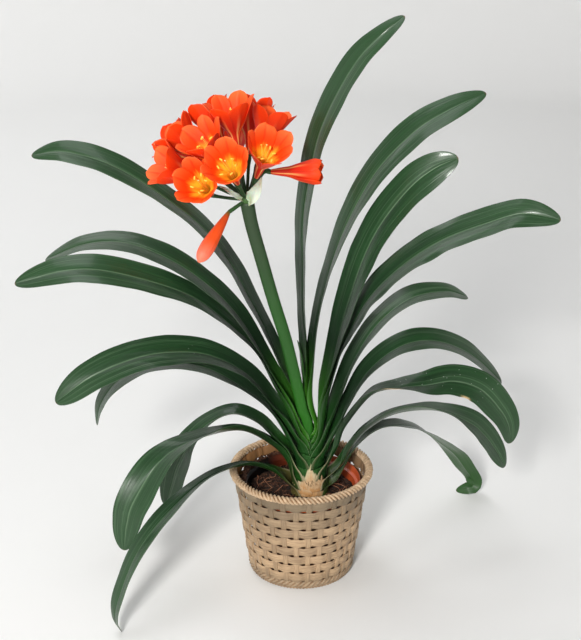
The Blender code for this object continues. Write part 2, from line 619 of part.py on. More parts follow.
def add_bract(name, path, width, finish, home):
    """A papery spathe bract: a short cupped blade under the umbel."""
    rings = np.linspace(0, 1, 5)
    middle, tangent, _ = spline_through(np.array(path) * MM, rings)
    across = unit(np.cross(tangent, np.array([0.15, -0.75, 0.65])))
    normal = np.cross(across, tangent)
    half = width * MM / 2 * np.array([0.75, 1.0, 0.85, 0.5, 0.1])
    share = np.linspace(-1, 1, 3)[None, :, None]
    points = (middle[:, None] + half[:, None, None] * share * across[:, None]
              + 0.25 * half[:, None, None] * share ** 2 * normal[:, None])
    shape = grid_bmesh(points)
    bmesh.ops.triangulate(shape, faces=shape.faces)
    piece = add_object(name, mesh_of(shape, name), finish, home)
    solid = piece.modifiers.new("thickness", "SOLIDIFY")
    solid.thickness = BRACT_THICKNESS
    solid.offset = 0
    return piece


def main():
    """Builds every piece."""
    for old in list(bpy.data.objects):
        bpy.data.objects.remove(old)
    home = new_collection("potted_clivia")
    straw = material("straw_weave", (0.40, 0.30, 0.19), 0.7)
    terracotta = material("orange_plastic", (0.55, 0.16, 0.05), 0.45)
    bark = material("bark_soil", (0.06, 0.03, 0.018), 0.95)
    husk = material("dry_base", (0.60, 0.42, 0.20), 0.8)
    green = material("leaf_green", (0.020, 0.075, 0.030), 0.35)
    fresh = material("scape_green", (0.06, 0.20, 0.02), 0.4)
    orange = material("petal_orange", (0.85, 0.12, 0.02), 0.5)
    pollen = material("anther_yellow", (0.90, 0.60, 0.05), 0.7)
    paper = material("bract_paper", (0.55, 0.60, 0.42), 0.7)
    add_basket_wall(straw, home)
    add_basket_rope(straw, home)
    add_pot(terracotta, home)
    add_soil(bark, home)
    add_trunk(husk, home)
    for leaf in LEAVES:
        add_leaf(leaf, green, home)
    add_scape(fresh, home)
    for bloom in BLOOMS:
        add_bloom(bloom, orange, pollen, home)
    add_bud(orange, home)
    for name, (path, width) in BRACTS.items():
        add_bract(name, path, width, paper, home)


main()
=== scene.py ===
"""The looks of a potted clivia: leaves, flowers, woven basket, pot and soil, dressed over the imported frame.

Metres, +Z up, +X to the viewer's right, +Y away from the viewer. The origin is the centre of the basket's
underside.
"""

from __future__ import annotations

import logging
import math
from collections.abc import Callable
from dataclasses import dataclass
from enum import Enum

import bpy
import numpy as np
from mathutils import Matrix, Vector


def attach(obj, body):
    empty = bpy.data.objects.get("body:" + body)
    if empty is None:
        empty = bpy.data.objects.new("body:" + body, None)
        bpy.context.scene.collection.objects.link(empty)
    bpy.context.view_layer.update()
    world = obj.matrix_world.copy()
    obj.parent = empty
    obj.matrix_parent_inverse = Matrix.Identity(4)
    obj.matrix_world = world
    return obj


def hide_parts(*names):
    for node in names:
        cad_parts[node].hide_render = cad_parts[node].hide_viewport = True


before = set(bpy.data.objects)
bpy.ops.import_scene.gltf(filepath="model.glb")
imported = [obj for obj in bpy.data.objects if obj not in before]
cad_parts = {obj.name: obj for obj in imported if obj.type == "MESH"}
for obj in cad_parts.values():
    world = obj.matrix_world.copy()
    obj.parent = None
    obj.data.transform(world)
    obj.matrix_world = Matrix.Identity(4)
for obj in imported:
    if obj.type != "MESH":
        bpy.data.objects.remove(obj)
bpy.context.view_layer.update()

LOG = logging.getLogger("potted_clivia")
MM = 0.001
TURN = 2 * np.pi
ROOT = "root"

Triple = tuple[float, float, float]
Array = np.ndarray
Values = np.ndarray | float
Material = bpy.types.Material
Socket = bpy.types.NodeSocket


# Shapes

@dataclass
class Patch:
    """A closed skin on a grid: rows run along it, and its columns go once round it.

    Attributes:
        points: Corner places, of shape (rows, columns, 3).
        uv: Pattern places, of shape (rows, columns, 2).
        marks: Named values, each a number or an array that spreads over (rows, columns).
        endless: Whether the last row meets the first, as in a ring.
        turn: What u grows by on the way round, so that a pattern closes there.
    """

    points: Array
    uv: Array
    marks: dict[str, Values]
    endless: bool = False
    turn: float = 0.0

    def corners(self) -> tuple[Array, list[list[int]], Array, dict[str, Array]]:
        """Works out the patch's corners and faces, with open ends closed by fans.

        The faces point out: they are turned over where the volume that they enclose comes out below zero.

        Returns:
            The corners, the faces, a UV for each face corner, and each mark at each corner.
        """
        rows, columns = self.points.shape[:2]
        row = np.arange(rows if self.endless else rows - 1)[:, None]
        column = np.arange(columns)[None, :]
        beside = (column + 1) % columns
        above = (row + 1) % rows
        quads = np.stack([row * columns + column, row * columns + beside,
                          above * columns + beside, above * columns + column], -1).reshape(-1, 4)
        flat_uv = self.uv.reshape(-1, 2)
        quad_uv = flat_uv[quads].copy()
        seam = np.broadcast_to(column == columns - 1, (len(row), columns)).reshape(-1, 1)
        quad_uv[:, 1:3, 0] += self.turn * seam
        points = self.points.reshape(-1, 3)
        marks = {name: np.broadcast_to(values, (rows, columns)).reshape(-1)
                 for name, values in self.marks.items()}
        blocks = [(quads, quad_uv)]
        for end, order in () if self.endless else ((0, 1), (rows - 1, -1)):
            ring = end * columns + np.arange(columns)
            centre = len(points)
            points = np.vstack([points, points[ring].mean(0)])
            marks = {name: np.append(values, values[ring].mean()) for name, values in marks.items()}
            fan = np.stack([np.full(columns, centre), np.roll(ring, -1), ring], 1)[:, ::order]
            rim_uv = flat_uv[np.minimum(fan, len(flat_uv) - 1)]
            blocks.append((fan, np.where((fan == centre)[..., None], flat_uv[ring].mean(0), rim_uv)))
        volume = sum(np.sum(points[faces[:, 0]] * np.cross(points[faces[:, k]], points[faces[:, k + 1]]))
                     for faces, _ in blocks for k in range(1, faces.shape[1] - 1))
        order = -1 if volume < 0 else 1
        turned_faces = [face for faces, _ in blocks for face in faces[:, ::order].tolist()]
        return points, turned_faces, np.vstack([uv[:, ::order].reshape(-1, 2) for _, uv in blocks]), marks


def unit(vectors: Array) -> Array:
    """Returns the vectors scaled to length one along their last axis."""
    return vectors / np.maximum(np.linalg.norm(vectors, axis=-1, keepdims=True), 1e-12)


def bearings(count: int, shift: float = 0.0) -> Array:
    """Returns even angles once round, the first of them shift steps past zero."""
    return TURN * (np.arange(count) + shift) / count


def grid(*parts: Values) -> Array:
    """Returns places whose coordinates are the parts, spread over their common grid."""
    return np.stack(np.broadcast_arrays(*parts), -1)


def polar(reach: Values, angle: Values, height: Values,
          centre: Array | tuple[float, float] = (0.0, 0.0)) -> Array:
    """Returns the places at a reach and an angle from an upright axis, and at a height."""
    return grid(centre[0] + reach * np.cos(angle), centre[1] + reach * np.sin(angle), height)


def run_of(points: Array) -> Array:
    """Returns how far along a row of points each of them lies."""
    return np.concatenate([[0], np.cumsum(np.linalg.norm(np.diff(points, axis=0), axis=1))])


def eased(at: Array, places: list[float], values: list[float]) -> Array:
    """Passes a smooth curve with no overshoot through values: cubic pieces with harmonic means as slopes.

    Args:
        at: Where to read the curve.
        places: Rising places of the knots.
        values: What the curve is at each knot.

    Returns:
        The curve at each place of at, held level outside the knots.
    """
    x = np.asarray(places, float)
    y = np.asarray(values, float)
    rise = np.diff(y) / np.diff(x)
    inner = np.where(rise[1:] * rise[:-1] > 0, 2 * rise[1:] * rise[:-1] / (rise[1:] + rise[:-1] + 1e-12), 0)
    slope = np.concatenate([[rise[0]], inner, [rise[-1]]])
    held = np.clip(at, x[0], x[-1])
    piece = np.clip(np.searchsorted(x, held, side="right") - 1, 0, len(x) - 2)
    span = x[piece + 1] - x[piece]
    t = (held - x[piece]) / span
    return (y[piece] * (2 * t ** 3 - 3 * t ** 2 + 1) + slope[piece] * span * (t ** 3 - 2 * t ** 2 + t)
            + y[piece + 1] * (3 * t ** 2 - 2 * t ** 3) + slope[piece + 1] * span * (t ** 3 - t ** 2))


def step(low: float, high: float, values: Values) -> Array:
    """Returns 0 at low, 1 at high and a smooth rise between, 3t² − 2t³, held level outside them."""
    t = np.clip((np.asarray(values, float) - low) / (high - low), 0, 1)
    return t * t * (3 - 2 * t)


def waves(points: Array, length: float, seed: int) -> Array:
    """Adds up nine plane waves of about one wavelength in many directions, which gives a smooth uneven field.

    Args:
        points: Places, with coordinates on the last axis.
        length: The usual wavelength.
        seed: Which field to draw.

    Returns:
        The field at each place, mostly between -1 and 1.
    """
    count = 9
    draw = np.random.default_rng(seed)
    heading = unit(draw.normal(size=(count, points.shape[-1])))
    rate = TURN / length * draw.uniform(0.6, 1.7, count)
    shift = draw.uniform(0, TURN, count)
    return np.sin(points @ (heading * rate[:, None]).T + shift).sum(-1) * math.sqrt(2 / count) * 0.7


def spline_through(knots: Array, shares: Array) -> tuple[Array, Array, float]:
    """Runs a Catmull-Rom curve through the knots and reads it at shares of its length.

    Args:
        knots: Points of the curve, of shape (count, 3).
        shares: Where to read it, from 0 to 1.

    Returns:
        The places, the unit tangents there, and the whole length.
    """
    ends = np.vstack([2 * knots[0] - knots[1], knots, 2 * knots[-1] - knots[-2]])
    t = np.linspace(0, 1, 40, endpoint=False)[:, None]
    pieces = [0.5 * (2 * p1 + (p2 - p0) * t + (2 * p0 - 5 * p1 + 4 * p2 - p3) * t ** 2
                     + (3 * p1 - p0 - 3 * p2 + p3) * t ** 3)
              for p0, p1, p2, p3 in zip(ends, ends[1:], ends[2:], ends[3:])]
    dense = np.vstack(pieces + [knots[-1:]])
    along = run_of(dense)
    at = shares * along[-1]
    reach = min(0.004, along[-1] / 8)

    def read(where: Array) -> Array:
        """Returns the curve's places at distances along it."""
        return np.stack([np.interp(np.clip(where, 0, along[-1]), along, dense[:, k]) for k in range(3)], 1)

    return read(at), unit(read(at + reach) - read(at - reach)), float(along[-1])


def tube(path: Array, radii: Array, sides: int, marks: dict[str, Values], squash: float = 1.0,
         side_hint: Triple = (0, -1, 0.01)) -> Patch:
    """Carries an oval of given radius along a path: P = path + r(cos a · across + squash · sin a · out).

    Args:
        path: Points of the centre line.
        radii: The radius at each point.
        sides: Corners of the section.
        marks: Named values, each a number or one for each point of the path.
        squash: The section's depth over its width.
        side_hint: Roughly the way that the section's thin side faces.

    Returns:
        The closed tube, with u round it and v along it in metres.
    """
    tangent = unit(np.gradient(path, axis=0))
    across = unit(np.cross(np.asarray(side_hint, float), tangent))
    out = np.cross(tangent, across)
    angle = bearings(sides)
    cosine, sine = np.cos(angle)[None, :, None], np.sin(angle)[None, :, None]
    ring = cosine * across[:, None] + squash * sine * out[:, None]
    uv = grid(angle[None, :] / TURN, run_of(path)[:, None])
    given = {name: np.reshape(values, (-1, 1)) for name, values in marks.items()}
    return Patch(path[:, None] + np.asarray(radii)[:, None, None] * ring, uv, given, turn=1.0)


def blade(middle: Array, thickness: Values, u: Array, v: Array, marks: dict[str, Values]) -> Patch:
    """Thickens a mid surface: its upper skin is M + nT/2 and its lower one M − nT/2, joined round the edge.

    Args:
        middle: The mid surface, of shape (rows, columns, 3).
        thickness: Its thickness at each point.
        u: Pattern place across, at each point.
        v: Pattern place along, at each point.
        marks: Named values, each a number or an array that spreads over the points.

    Returns:
        The closed blade. The mark "upper" is 1 on the side that the mid surface's normal faces, and 0 below.
    """
    shape = middle.shape[:2]
    normal = unit(np.cross(np.gradient(middle, axis=0), np.gradient(middle, axis=1)))
    offset = normal * np.broadcast_to(thickness, shape)[..., None] / 2

    def both(top: Array, under: Array) -> Array:
        """Returns the upper columns followed by the lower ones in reverse."""
        return np.concatenate([top, under[:, ::-1]], axis=1)

    def doubled(values: Values) -> Array:
        """Returns values that are the same on both skins."""
        spread = np.broadcast_to(values, shape)
        return both(spread, spread)

    given = {name: doubled(values) for name, values in marks.items()}
    given["upper"] = both(np.ones(shape), np.zeros(shape))
    return Patch(both(middle + offset, middle - offset), grid(doubled(u), doubled(v)), given)


def turned(profile: list[tuple[float, float]], sides: int, marks: dict[str, Values]) -> Patch:
    """Turns a profile of (radius, height) round Z.

    Args:
        profile: The section's points, from one point near the axis to another.
        sides: Steps round the axis.
        marks: Named values, each a number or an array that spreads over the points.

    Returns:
        The closed solid, with u round it and v along the profile in metres.
    """
    section = np.array(profile, float)
    angle = bearings(sides)
    points = polar(np.maximum(section[:, :1], 1e-5), angle, section[:, 1:])
    return Patch(points, grid(angle / TURN, run_of(section)[:, None]), marks, turn=1.0)


def add_mesh(name: str, points: Array, faces: list[list[int]], finish: Material) -> bpy.types.Object:
    """Adds a smooth mesh to the scene.

    Args:
        name: The object's name.
        points: Its corners.
        faces: Corner numbers of each face.
        finish: Its material.

    Returns:
        The object.
    """
    mesh = bpy.data.meshes.new(name)
    mesh.from_pydata(points.tolist(), [], faces)
    mesh.shade_smooth()
    mesh.materials.append(finish)
    made = bpy.data.objects.new(name, mesh)
    bpy.context.scene.collection.objects.link(made)
    return made


def make_piece(name: str, patches: list[Patch], finish: Material, replaced: list[str],
               sharp: float | None = None) -> None:
    """Joins patches into one object that rides on the plant's body and stands for solids of the frame.

    Args:
        name: The piece's name.
        patches: Its closed skins, which all have the same marks.
        finish: Its material.
        replaced: The frame's nodes that it stands for.
        sharp: Edges that turn more than this many degrees stay sharp, if it is given.
    """
    parts = [patch.corners() for patch in patches]
    starts = np.cumsum([0] + [len(corners) for corners, _, _, _ in parts])
    faces = [[int(start) + index for index in face] for start, part in zip(starts, parts) for face in part[1]]
    piece = add_mesh(name, np.vstack([part[0] for part in parts]), faces, finish)
    layer = piece.data.uv_layers.new(name="UVMap")
    layer.data.foreach_set("uv", np.vstack([part[2] for part in parts]).astype(np.float32).ravel())
    for mark in sorted(parts[0][3]):
        attribute = piece.data.attributes.new(mark, "FLOAT", "POINT")
        values = np.concatenate([part[3][mark] for part in parts])
        attribute.data.foreach_set("value", values.astype(np.float32))
    if sharp is not None:
        piece.data.set_sharp_from_angle(angle=math.radians(sharp))
    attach(piece, ROOT)
    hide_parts(*replaced)
    LOG.info("%s: %d faces", name, len(faces))


# Finishes

class Nodes:
    """Short calls for adding nodes to one shader tree. Inputs are sockets or plain values."""

    def __init__(self, tree: bpy.types.NodeTree) -> None:
        """Keeps the tree of a material or a group."""
        self.tree = tree

    def add(self, kind: str, inputs: dict[str | int, object] | None = None,
            **settings: object) -> bpy.types.Node:
        """Adds a node.

        Args:
            kind: The node's type.
            inputs: Values or sockets for its inputs, by name or number.
            **settings: Its own properties.

        Returns:
            The node.
        """
        node = self.tree.nodes.new(kind)
        for name, value in settings.items():
            setattr(node, name, value)
        for name, value in (inputs or {}).items():
            if isinstance(value, Socket):
                self.tree.links.new(value, node.inputs[name])
            else:
                node.inputs[name].default_value = (*value, 1.0) if node.inputs[name].type == "RGBA" else value
        return node

    def calc(self, kind: str, first: object, second: object) -> Socket:
        """Returns the result of a Math node of that kind."""
        return self.add("ShaderNodeMath", {0: first, 1: second}, operation=kind).outputs[0]

    def times(self, first: object, *others: object) -> Socket:
        """Multiplies values.

        Args:
            first: The first value.
            others: The others.

        Returns:
            Their product.
        """
        for other in others:
            first = self.calc("MULTIPLY", first, other)
        return first

    def plus(self, first: object, second: object, share: float = 1.0) -> Socket:
        """Returns the first value with a share of the second added."""
        return self.calc("ADD", first, second if share == 1.0 else self.times(second, share))

    def blend(self, share: object, first: object, second: object) -> Socket:
        """Returns a colour between two, by the share of the second."""
        return self.add("ShaderNodeMix", {0: share, 6: first, 7: second}, data_type="RGBA").outputs[2]

    def coats(self, body: object, *coats: tuple[object, object]) -> Socket:
        """Lays colours over a colour in turn.

        Args:
            body: The colour below.
            coats: Each coat's share and colour.

        Returns:
            The colour on top.
        """
        for share, colour in coats:
            body = self.blend(share, body, colour)
        return body

    def smooth(self, value: object, low: object, high: object, start: float = 0.0,
               end: float = 1.0) -> Socket:
        """Returns start at low, end at high and a smooth change between, held level outside them."""
        ends = {"Value": value, "From Min": low, "From Max": high, "To Min": start, "To Max": end}
        return self.add("ShaderNodeMapRange", ends, interpolation_type="SMOOTHSTEP").outputs["Result"]

    def fall(self, value: object, low: float, high: float) -> Socket:
        """Returns 1 below low, 0 above high and a smooth fall between."""
        return self.smooth(value, low, high, 1.0, 0.0)

    def scaled(self, colour: object, factor: object) -> Socket:
        """Returns a colour times a factor."""
        return self.add("ShaderNodeVectorMath", {0: colour, "Scale": factor}, operation="SCALE").outputs[0]

    def vector(self, x: object, y: object, z: object) -> Socket:
        """Returns a vector of three values."""
        return self.add("ShaderNodeCombineXYZ", {0: x, 1: y, 2: z}).outputs[0]

    def split(self, vector: Socket) -> bpy.types.NodeOutputs:
        """Returns the three values of a vector."""
        return self.add("ShaderNodeSeparateXYZ", {0: vector}).outputs

    def noise(self, place: object, scale: object, detail: float = 2.0, roughness: float = 0.5) -> Socket:
        """Returns a noise value at a place."""
        return self.add("ShaderNodeTexNoise", {"Vector": place, "Scale": scale, "Detail": detail,
                                               "Roughness": roughness}).outputs["Fac"]

    def mark(self, name: str) -> Socket:
        """Returns a named value of the mesh."""
        return self.add("ShaderNodeAttribute", attribute_name=name).outputs["Fac"]

    def pattern_place(self) -> tuple[Socket, Socket]:
        """Returns the piece's u and v."""
        parts = self.split(self.add("ShaderNodeUVMap", uv_map="UVMap").outputs[0])
        return parts[0], parts[1]

    def object_place(self) -> Socket:
        """Returns the place in the object's own coordinates."""
        return self.add("ShaderNodeTexCoord").outputs["Object"]

    def bump(self, height: object, distance: float, strength: float) -> Socket:
        """Returns a normal bent by a height."""
        inputs = {"Height": height, "Distance": distance, "Strength": strength}
        return self.add("ShaderNodeBump", inputs).outputs[0]

    def off_middle(self, u: Socket) -> Socket:
        """Returns how far a place lies from the middle of a blade: 0 there and 1 at its margins."""
        return self.calc("ABSOLUTE", self.calc("SUBTRACT", self.times(u, 2.0), 1.0), 0.0)


class SharedGroups:
    """The effects that several finishes use, each one shader group with one output."""

    def __init__(self) -> None:
        """Builds the groups."""
        number = "NodeSocketFloat"
        lines = dict.fromkeys(("U", "V", "Lines", "Stretch", "Seed"), number)
        self.grain = self.group("lengthwise_grain", lines, number, self.draw_grain)
        blotches = {"Place": "NodeSocketVector", "Scale": number, "Low": number, "High": number}
        self.mottle = self.group("mottle", blotches, number, self.draw_mottle)
        toned = {"Color": "NodeSocketColor", "Tone": number, "Amount": number}
        self.shift = self.group("tone_shift", toned, "NodeSocketColor", self.draw_shift)

    @staticmethod
    def group(name: str, inputs: dict[str, str], kind: str,
              draw: Callable[..., Socket]) -> bpy.types.NodeTree:
        """Makes a shader group.

        Args:
            name: The group's name.
            inputs: The kind of each input socket, by its name.
            kind: The kind of the output socket.
            draw: Adds the nodes between them.

        Returns:
            The group.
        """
        tree = bpy.data.node_groups.new(name, "ShaderNodeTree")
        for label, socket_kind in inputs.items():
            tree.interface.new_socket(name=label, in_out="INPUT", socket_type=socket_kind)
        tree.interface.new_socket(name="Result", in_out="OUTPUT", socket_type=kind)
        nodes = Nodes(tree)
        given = nodes.add("NodeGroupInput").outputs
        nodes.add("NodeGroupOutput", {"Result": draw(nodes, *(given[label] for label in inputs))})
        return tree

    @staticmethod
    def draw_grain(nodes: Nodes, u: Socket, v: Socket, lines: Socket, stretch: Socket,
                   seed: Socket) -> Socket:
        """Returns fine lines along a piece: noise that is squeezed across u and stretched along v."""
        place = nodes.vector(nodes.times(u, lines), nodes.times(v, stretch), nodes.times(seed, 7.3))
        return nodes.noise(place, 1.0, 3.0, 0.6)

    @staticmethod
    def draw_mottle(nodes: Nodes, place: Socket, scale: Socket, low: Socket, high: Socket) -> Socket:
        """Returns soft blotches with a set contrast."""
        return nodes.smooth(nodes.noise(place, scale, 4.0, 0.55), low, high)

    @staticmethod
    def draw_shift(nodes: Nodes, colour: Socket, tone: Socket, amount: Socket) -> Socket:
        """Returns a colour made lighter or darker by a signed tone."""
        return nodes.scaled(colour, nodes.calc("ADD", 1.0, nodes.times(tone, amount)))


class FinishNodes(Nodes):
    """The tree of one material, with its Principled shader and the shared groups at hand."""

    def __init__(self, name: str, shared: SharedGroups | None = None) -> None:
        """Makes the material.

        Args:
            name: Its name.
            shared: The shared shader groups, if it uses any.
        """
        self.material = bpy.data.materials.new(name)
        self.material.use_nodes = True
        super().__init__(self.material.node_tree)
        self.shared = shared

    def use(self, group: bpy.types.NodeTree, **inputs: object) -> Socket:
        """Returns the output of a shared group placed in this tree with its own values."""
        return self.add("ShaderNodeGroup", inputs, node_tree=group).outputs[0]

    def grain(self, u: Socket, v: Socket, lines: float, stretch: float, seed: Socket) -> Socket:
        """Returns fine lines along the piece."""
        return self.use(self.shared.grain, U=u, V=v, Lines=lines, Stretch=stretch, Seed=seed)

    def mottle(self, scale: float, low: float = 0.35, high: float = 0.65) -> Socket:
        """Returns soft blotches over the piece."""
        return self.use(self.shared.mottle, Place=self.object_place(), Scale=scale, Low=low, High=high)

    def shift(self, colour: Socket, tone: Socket, amount: float) -> Socket:
        """Returns a colour made lighter or darker by a tone."""
        return self.use(self.shared.shift, Color=colour, Tone=tone, Amount=amount)

    def settle(self, linked: dict[str, Socket], plain: dict[str, object]) -> Material:
        """Joins what varies over the surface to the Principled shader, and sets the rest on its own sockets.

        Args:
            linked: Sockets for the shader's inputs.
            plain: Values for others of its inputs.

        Returns:
            The finished material.
        """
        inputs = self.tree.nodes["Principled BSDF"].inputs
        for name, socket in linked.items():
            self.tree.links.new(socket, inputs[name])
        for name, value in plain.items():
            inputs[name].default_value = value
        return self.material


@dataclass(frozen=True)
class LeafFinish:
    """Waxy strap leaf: deep green with fine veins and a pale rim, fresh or papery at its foot, with a painted
    highlight along the midrib and in fine streaks, painted sheen toward the tip and painted shade over its
    lower part.
    """

    deep: Triple = (0.0100, 0.0300, 0.0120)
    green: Triple = (0.0190, 0.0600, 0.0210)
    # Painted sheen: a lighter green laid over the outer half of each leaf, standing in for the light from
    # above.
    tip: Triple = (0.032, 0.076, 0.032)
    under: Triple = (0.030, 0.085, 0.024)
    # Painted shade: near-black green laid over the lower part of every leaf, in the crowded fan.
    painted_shade: Triple = (0.0045, 0.0120, 0.0055)
    # Painted highlight: a pale green laid along the midrib and in fine streaks on the upper face.
    painted_highlight: Triple = (0.140, 0.230, 0.130)
    rim: Triple = (0.050, 0.095, 0.045)
    fresh: Triple = (0.060, 0.260, 0.012)
    sheath: Triple = (0.012, 0.062, 0.012)
    margin: Triple = (0.170, 0.270, 0.120)
    paper: Triple = (0.620, 0.520, 0.330)
    dry: Triple = (0.150, 0.080, 0.030)
    olive: Triple = (0.140, 0.110, 0.035)
    scar: Triple = (0.62, 0.45, 0.24)
    speck: Triple = (0.75, 0.78, 0.72)
    roughness: float = 0.24

    def build(self, shared: SharedGroups) -> Material:
        """Builds the material.

        Args:
            shared: The shared shader groups.

        Returns:
            The material. It reads UV (u across, v metres from the foot) and the marks upper, share, seed,
            fresh, aged, papery, scar and speck.
        """
        nodes = FinishNodes("waxy_leaf", shared)
        u, v = nodes.pattern_place()
        seed, upper, share = nodes.mark("seed"), nodes.mark("upper"), nodes.mark("share")
        off_rib = nodes.off_middle(u)
        veins = nodes.grain(u, v, 46.0, 5.0, seed)
        streaks = nodes.grain(u, v, 9.0, 9.0, seed)
        threads = nodes.grain(u, v, 30.0, 2.0, seed)
        cells = nodes.add("ShaderNodeTexVoronoi", {"Vector": nodes.object_place(), "Scale": 210.0})
        specks = cells.outputs["Distance"]
        top = nodes.coats(
            nodes.blend(nodes.smooth(streaks, 0.35, 0.68), self.deep, self.green),
            (nodes.times(nodes.smooth(veins, 0.45, 0.75), 0.35), self.green),
            (nodes.times(nodes.mottle(26.0), 0.25), self.green),
            # Painted sheen: the outer half of the leaf is made lighter.
            (nodes.times(nodes.smooth(share, 0.45, 0.95), 0.55), self.tip),
            # Painted highlight in fine streaks along the upper face, between a fifth and half of the length.
            (nodes.times(nodes.smooth(threads, 0.54, 0.66), nodes.smooth(share, 0.2, 0.5, 0.0, 0.28)),
             self.painted_highlight))
        body = nodes.coats(
            nodes.blend(upper, self.under, top),
            # Painted highlight along the midrib on the upper face.
            (nodes.times(nodes.smooth(off_rib, 0.015, 0.065, 0.6, 0.0), upper), self.painted_highlight),
            # Painted shade over the lower quarter to two thirds of each leaf.
            (nodes.times(nodes.fall(share, 0.25, 0.62), 0.8), self.painted_shade),
            (nodes.times(nodes.fall(v, 0.030, 0.080), 0.7), self.sheath),
            (nodes.times(nodes.fall(v, 0.02, 0.13), nodes.calc("POWER", nodes.mark("fresh"), 2.5)),
             self.fresh),
            (nodes.times(nodes.smooth(off_rib, 0.970, 1.0), 0.4), self.rim),
            (nodes.times(nodes.smooth(off_rib, 0.965, 0.998), nodes.fall(v, 0.025, 0.060), 0.55),
             self.margin),
            (nodes.times(nodes.fall(v, 0.004, 0.045), nodes.mark("aged")), self.olive),
            (nodes.times(nodes.smooth(off_rib, 0.82, 0.97), nodes.fall(v, 0.010, 0.034),
                         nodes.mark("papery")), self.paper),
            (nodes.smooth(nodes.plus(share, streaks, 0.006), 0.999, 1.004), self.dry),
            (nodes.mark("scar"), self.scar),
            (nodes.times(nodes.fall(specks, 0.05, 0.08), nodes.mark("speck")), self.speck))
        wrinkles = nodes.noise(nodes.vector(nodes.times(u, 3.0), nodes.times(v, 90.0), seed), 1.0)
        height = nodes.plus(nodes.plus(nodes.times(veins, 0.35), streaks, 1.8), wrinkles, 0.35)
        return nodes.settle({"Base Color": body, "Roughness": nodes.plus(self.roughness, veins, 0.16),
                             "Normal": nodes.bump(height, 0.0009, 0.4)},
                            {"Specular IOR Level": 0.24, "Coat Weight": 0.16, "Coat Roughness": 0.12})


@dataclass(frozen=True)
class StrawFinish:
    """Flat varnished plant fibre: beige with fine lengthwise lines and brown inside; greyer and darker toward
    the top, partly its own greyer straw and partly painted shade under the rope, with painted shade toward
    the foot, at the inside's left and in the laid rope's creases.
    """

    name: str
    light: Triple = (0.590, 0.410, 0.245)
    dark: Triple = (0.310, 0.200, 0.115)
    # Partly the greyer straw of the upper rows, partly painted shade: laid on under the rope and near the
    # floor.
    grey_and_shade: Triple = (0.140, 0.108, 0.068)
    # Brown of the inside, also laid on as painted shade at the inside's left and in the laid rope's creases.
    inside: Triple = (0.280, 0.130, 0.045)
    grain_lines: float = 9.0
    grain_stretch: float = 60.0
    roughness: float = 0.52

    def build(self, shared: SharedGroups) -> Material:
        """Builds the material.

        Args:
            shared: The shared shader groups.

        Returns:
            The material. It reads UV, Object coordinates and the marks tone, inner and high.
        """
        nodes = FinishNodes(self.name, shared)
        u, v = nodes.pattern_place()
        tone = nodes.mark("tone")
        fibres = nodes.grain(u, v, self.grain_lines, self.grain_stretch, tone)
        height = nodes.split(nodes.object_place())[2]
        body = nodes.coats(
            nodes.blend(nodes.smooth(fibres, 0.25, 0.75), self.dark, self.light),
            (nodes.times(nodes.mottle(55.0, 0.3, 0.7), 0.22), self.dark),
            # Greyer and darker toward the top: partly the straw's own colour, partly painted shade under the
            # rope.
            (nodes.times(nodes.calc("POWER", nodes.mark("high"), 2.2), 0.85), self.grey_and_shade),
            # Painted shade: darker toward the foot, near the floor.
            (nodes.smooth(height, 0.004, 0.032, 0.5, 0.0), self.grey_and_shade))
        # The mark inner lays on the inside's brown, with painted shade at its left, and painted shade in the
        # laid rope's creases.
        body = nodes.blend(nodes.mark("inner"), nodes.shift(body, tone, 0.26), self.inside)
        return nodes.settle({"Base Color": body, "Roughness": nodes.plus(self.roughness, fibres, 0.2),
                             "Normal": nodes.bump(fibres, 0.0006, 0.5)},
                            {"Specular IOR Level": 0.4, "Coat Weight": 0.1, "Coat Roughness": 0.3})


@dataclass(frozen=True)
class PetalFinish:
    """Petal: salmon orange at its tip, red orange in the middle, yellow in the throat, redder on its back,
    partly its own colour and partly painted shade toward the base.
    """

    lip: Triple = (1.000, 0.140, 0.028)
    blade: Triple = (0.930, 0.058, 0.003)
    throat: Triple = (1.000, 0.540, 0.030)
    # Partly the back's redder colour, partly painted shade: laid over the lower half of the back.
    back: Triple = (0.640, 0.015, 0.001)
    stripe: Triple = (0.920, 0.460, 0.140)
    vein: Triple = (0.740, 0.028, 0.003)

    def build(self, shared: SharedGroups) -> Material:
        """Builds the material.

        Args:
            shared: The shared shader groups.

        Returns:
            The material. It reads UV (u across, v share of the length) and the marks upper, seed and tone.
        """
        nodes = FinishNodes("clivia_petal", shared)
        u, v = nodes.pattern_place()
        off_rib = nodes.off_middle(u)
        veins = nodes.grain(u, v, 24.0, 1.6, nodes.mark("seed"))
        fold = nodes.times(nodes.smooth(off_rib, 0.02, 0.16, 0.5, 0.0), nodes.smooth(v, 0.97, 0.85))
        ragged = nodes.plus(v, nodes.calc("SUBTRACT", veins, 0.5), 0.20)
        front = nodes.coats(
            nodes.blend(nodes.smooth(v, 0.68, 1.0), self.blade, self.lip),
            (fold, self.vein),
            (nodes.times(nodes.smooth(veins, 0.52, 0.78), 0.25), self.vein),
            (nodes.fall(nodes.plus(ragged, off_rib, 0.10), 0.50, 0.72), self.throat))
        rear = nodes.coats(
            # The lower half of the back is darker red: partly its own colour, partly painted shade.
            nodes.blend(nodes.smooth(v, 0.5, 1.0), self.back, self.blade),
            (nodes.times(nodes.smooth(veins, 0.5, 0.8), 0.3), self.vein),
            (nodes.times(nodes.fall(off_rib, 0.05, 0.30), nodes.fall(v, 0.30, 0.80), 0.8), self.stripe))
        body = nodes.shift(nodes.blend(nodes.mark("upper"), rear, front), nodes.mark("tone"), 0.10)
        return nodes.settle({"Base Color": body, "Roughness": nodes.plus(0.42, veins, 0.18),
                             "Normal": nodes.bump(nodes.plus(veins, off_rib, 0.4), 0.0004, 0.35)},
                            {"Specular IOR Level": 0.25, "Subsurface Weight": 0.15,
                             "Subsurface Radius": (1.0, 0.35, 0.12), "Subsurface Scale": 0.003})


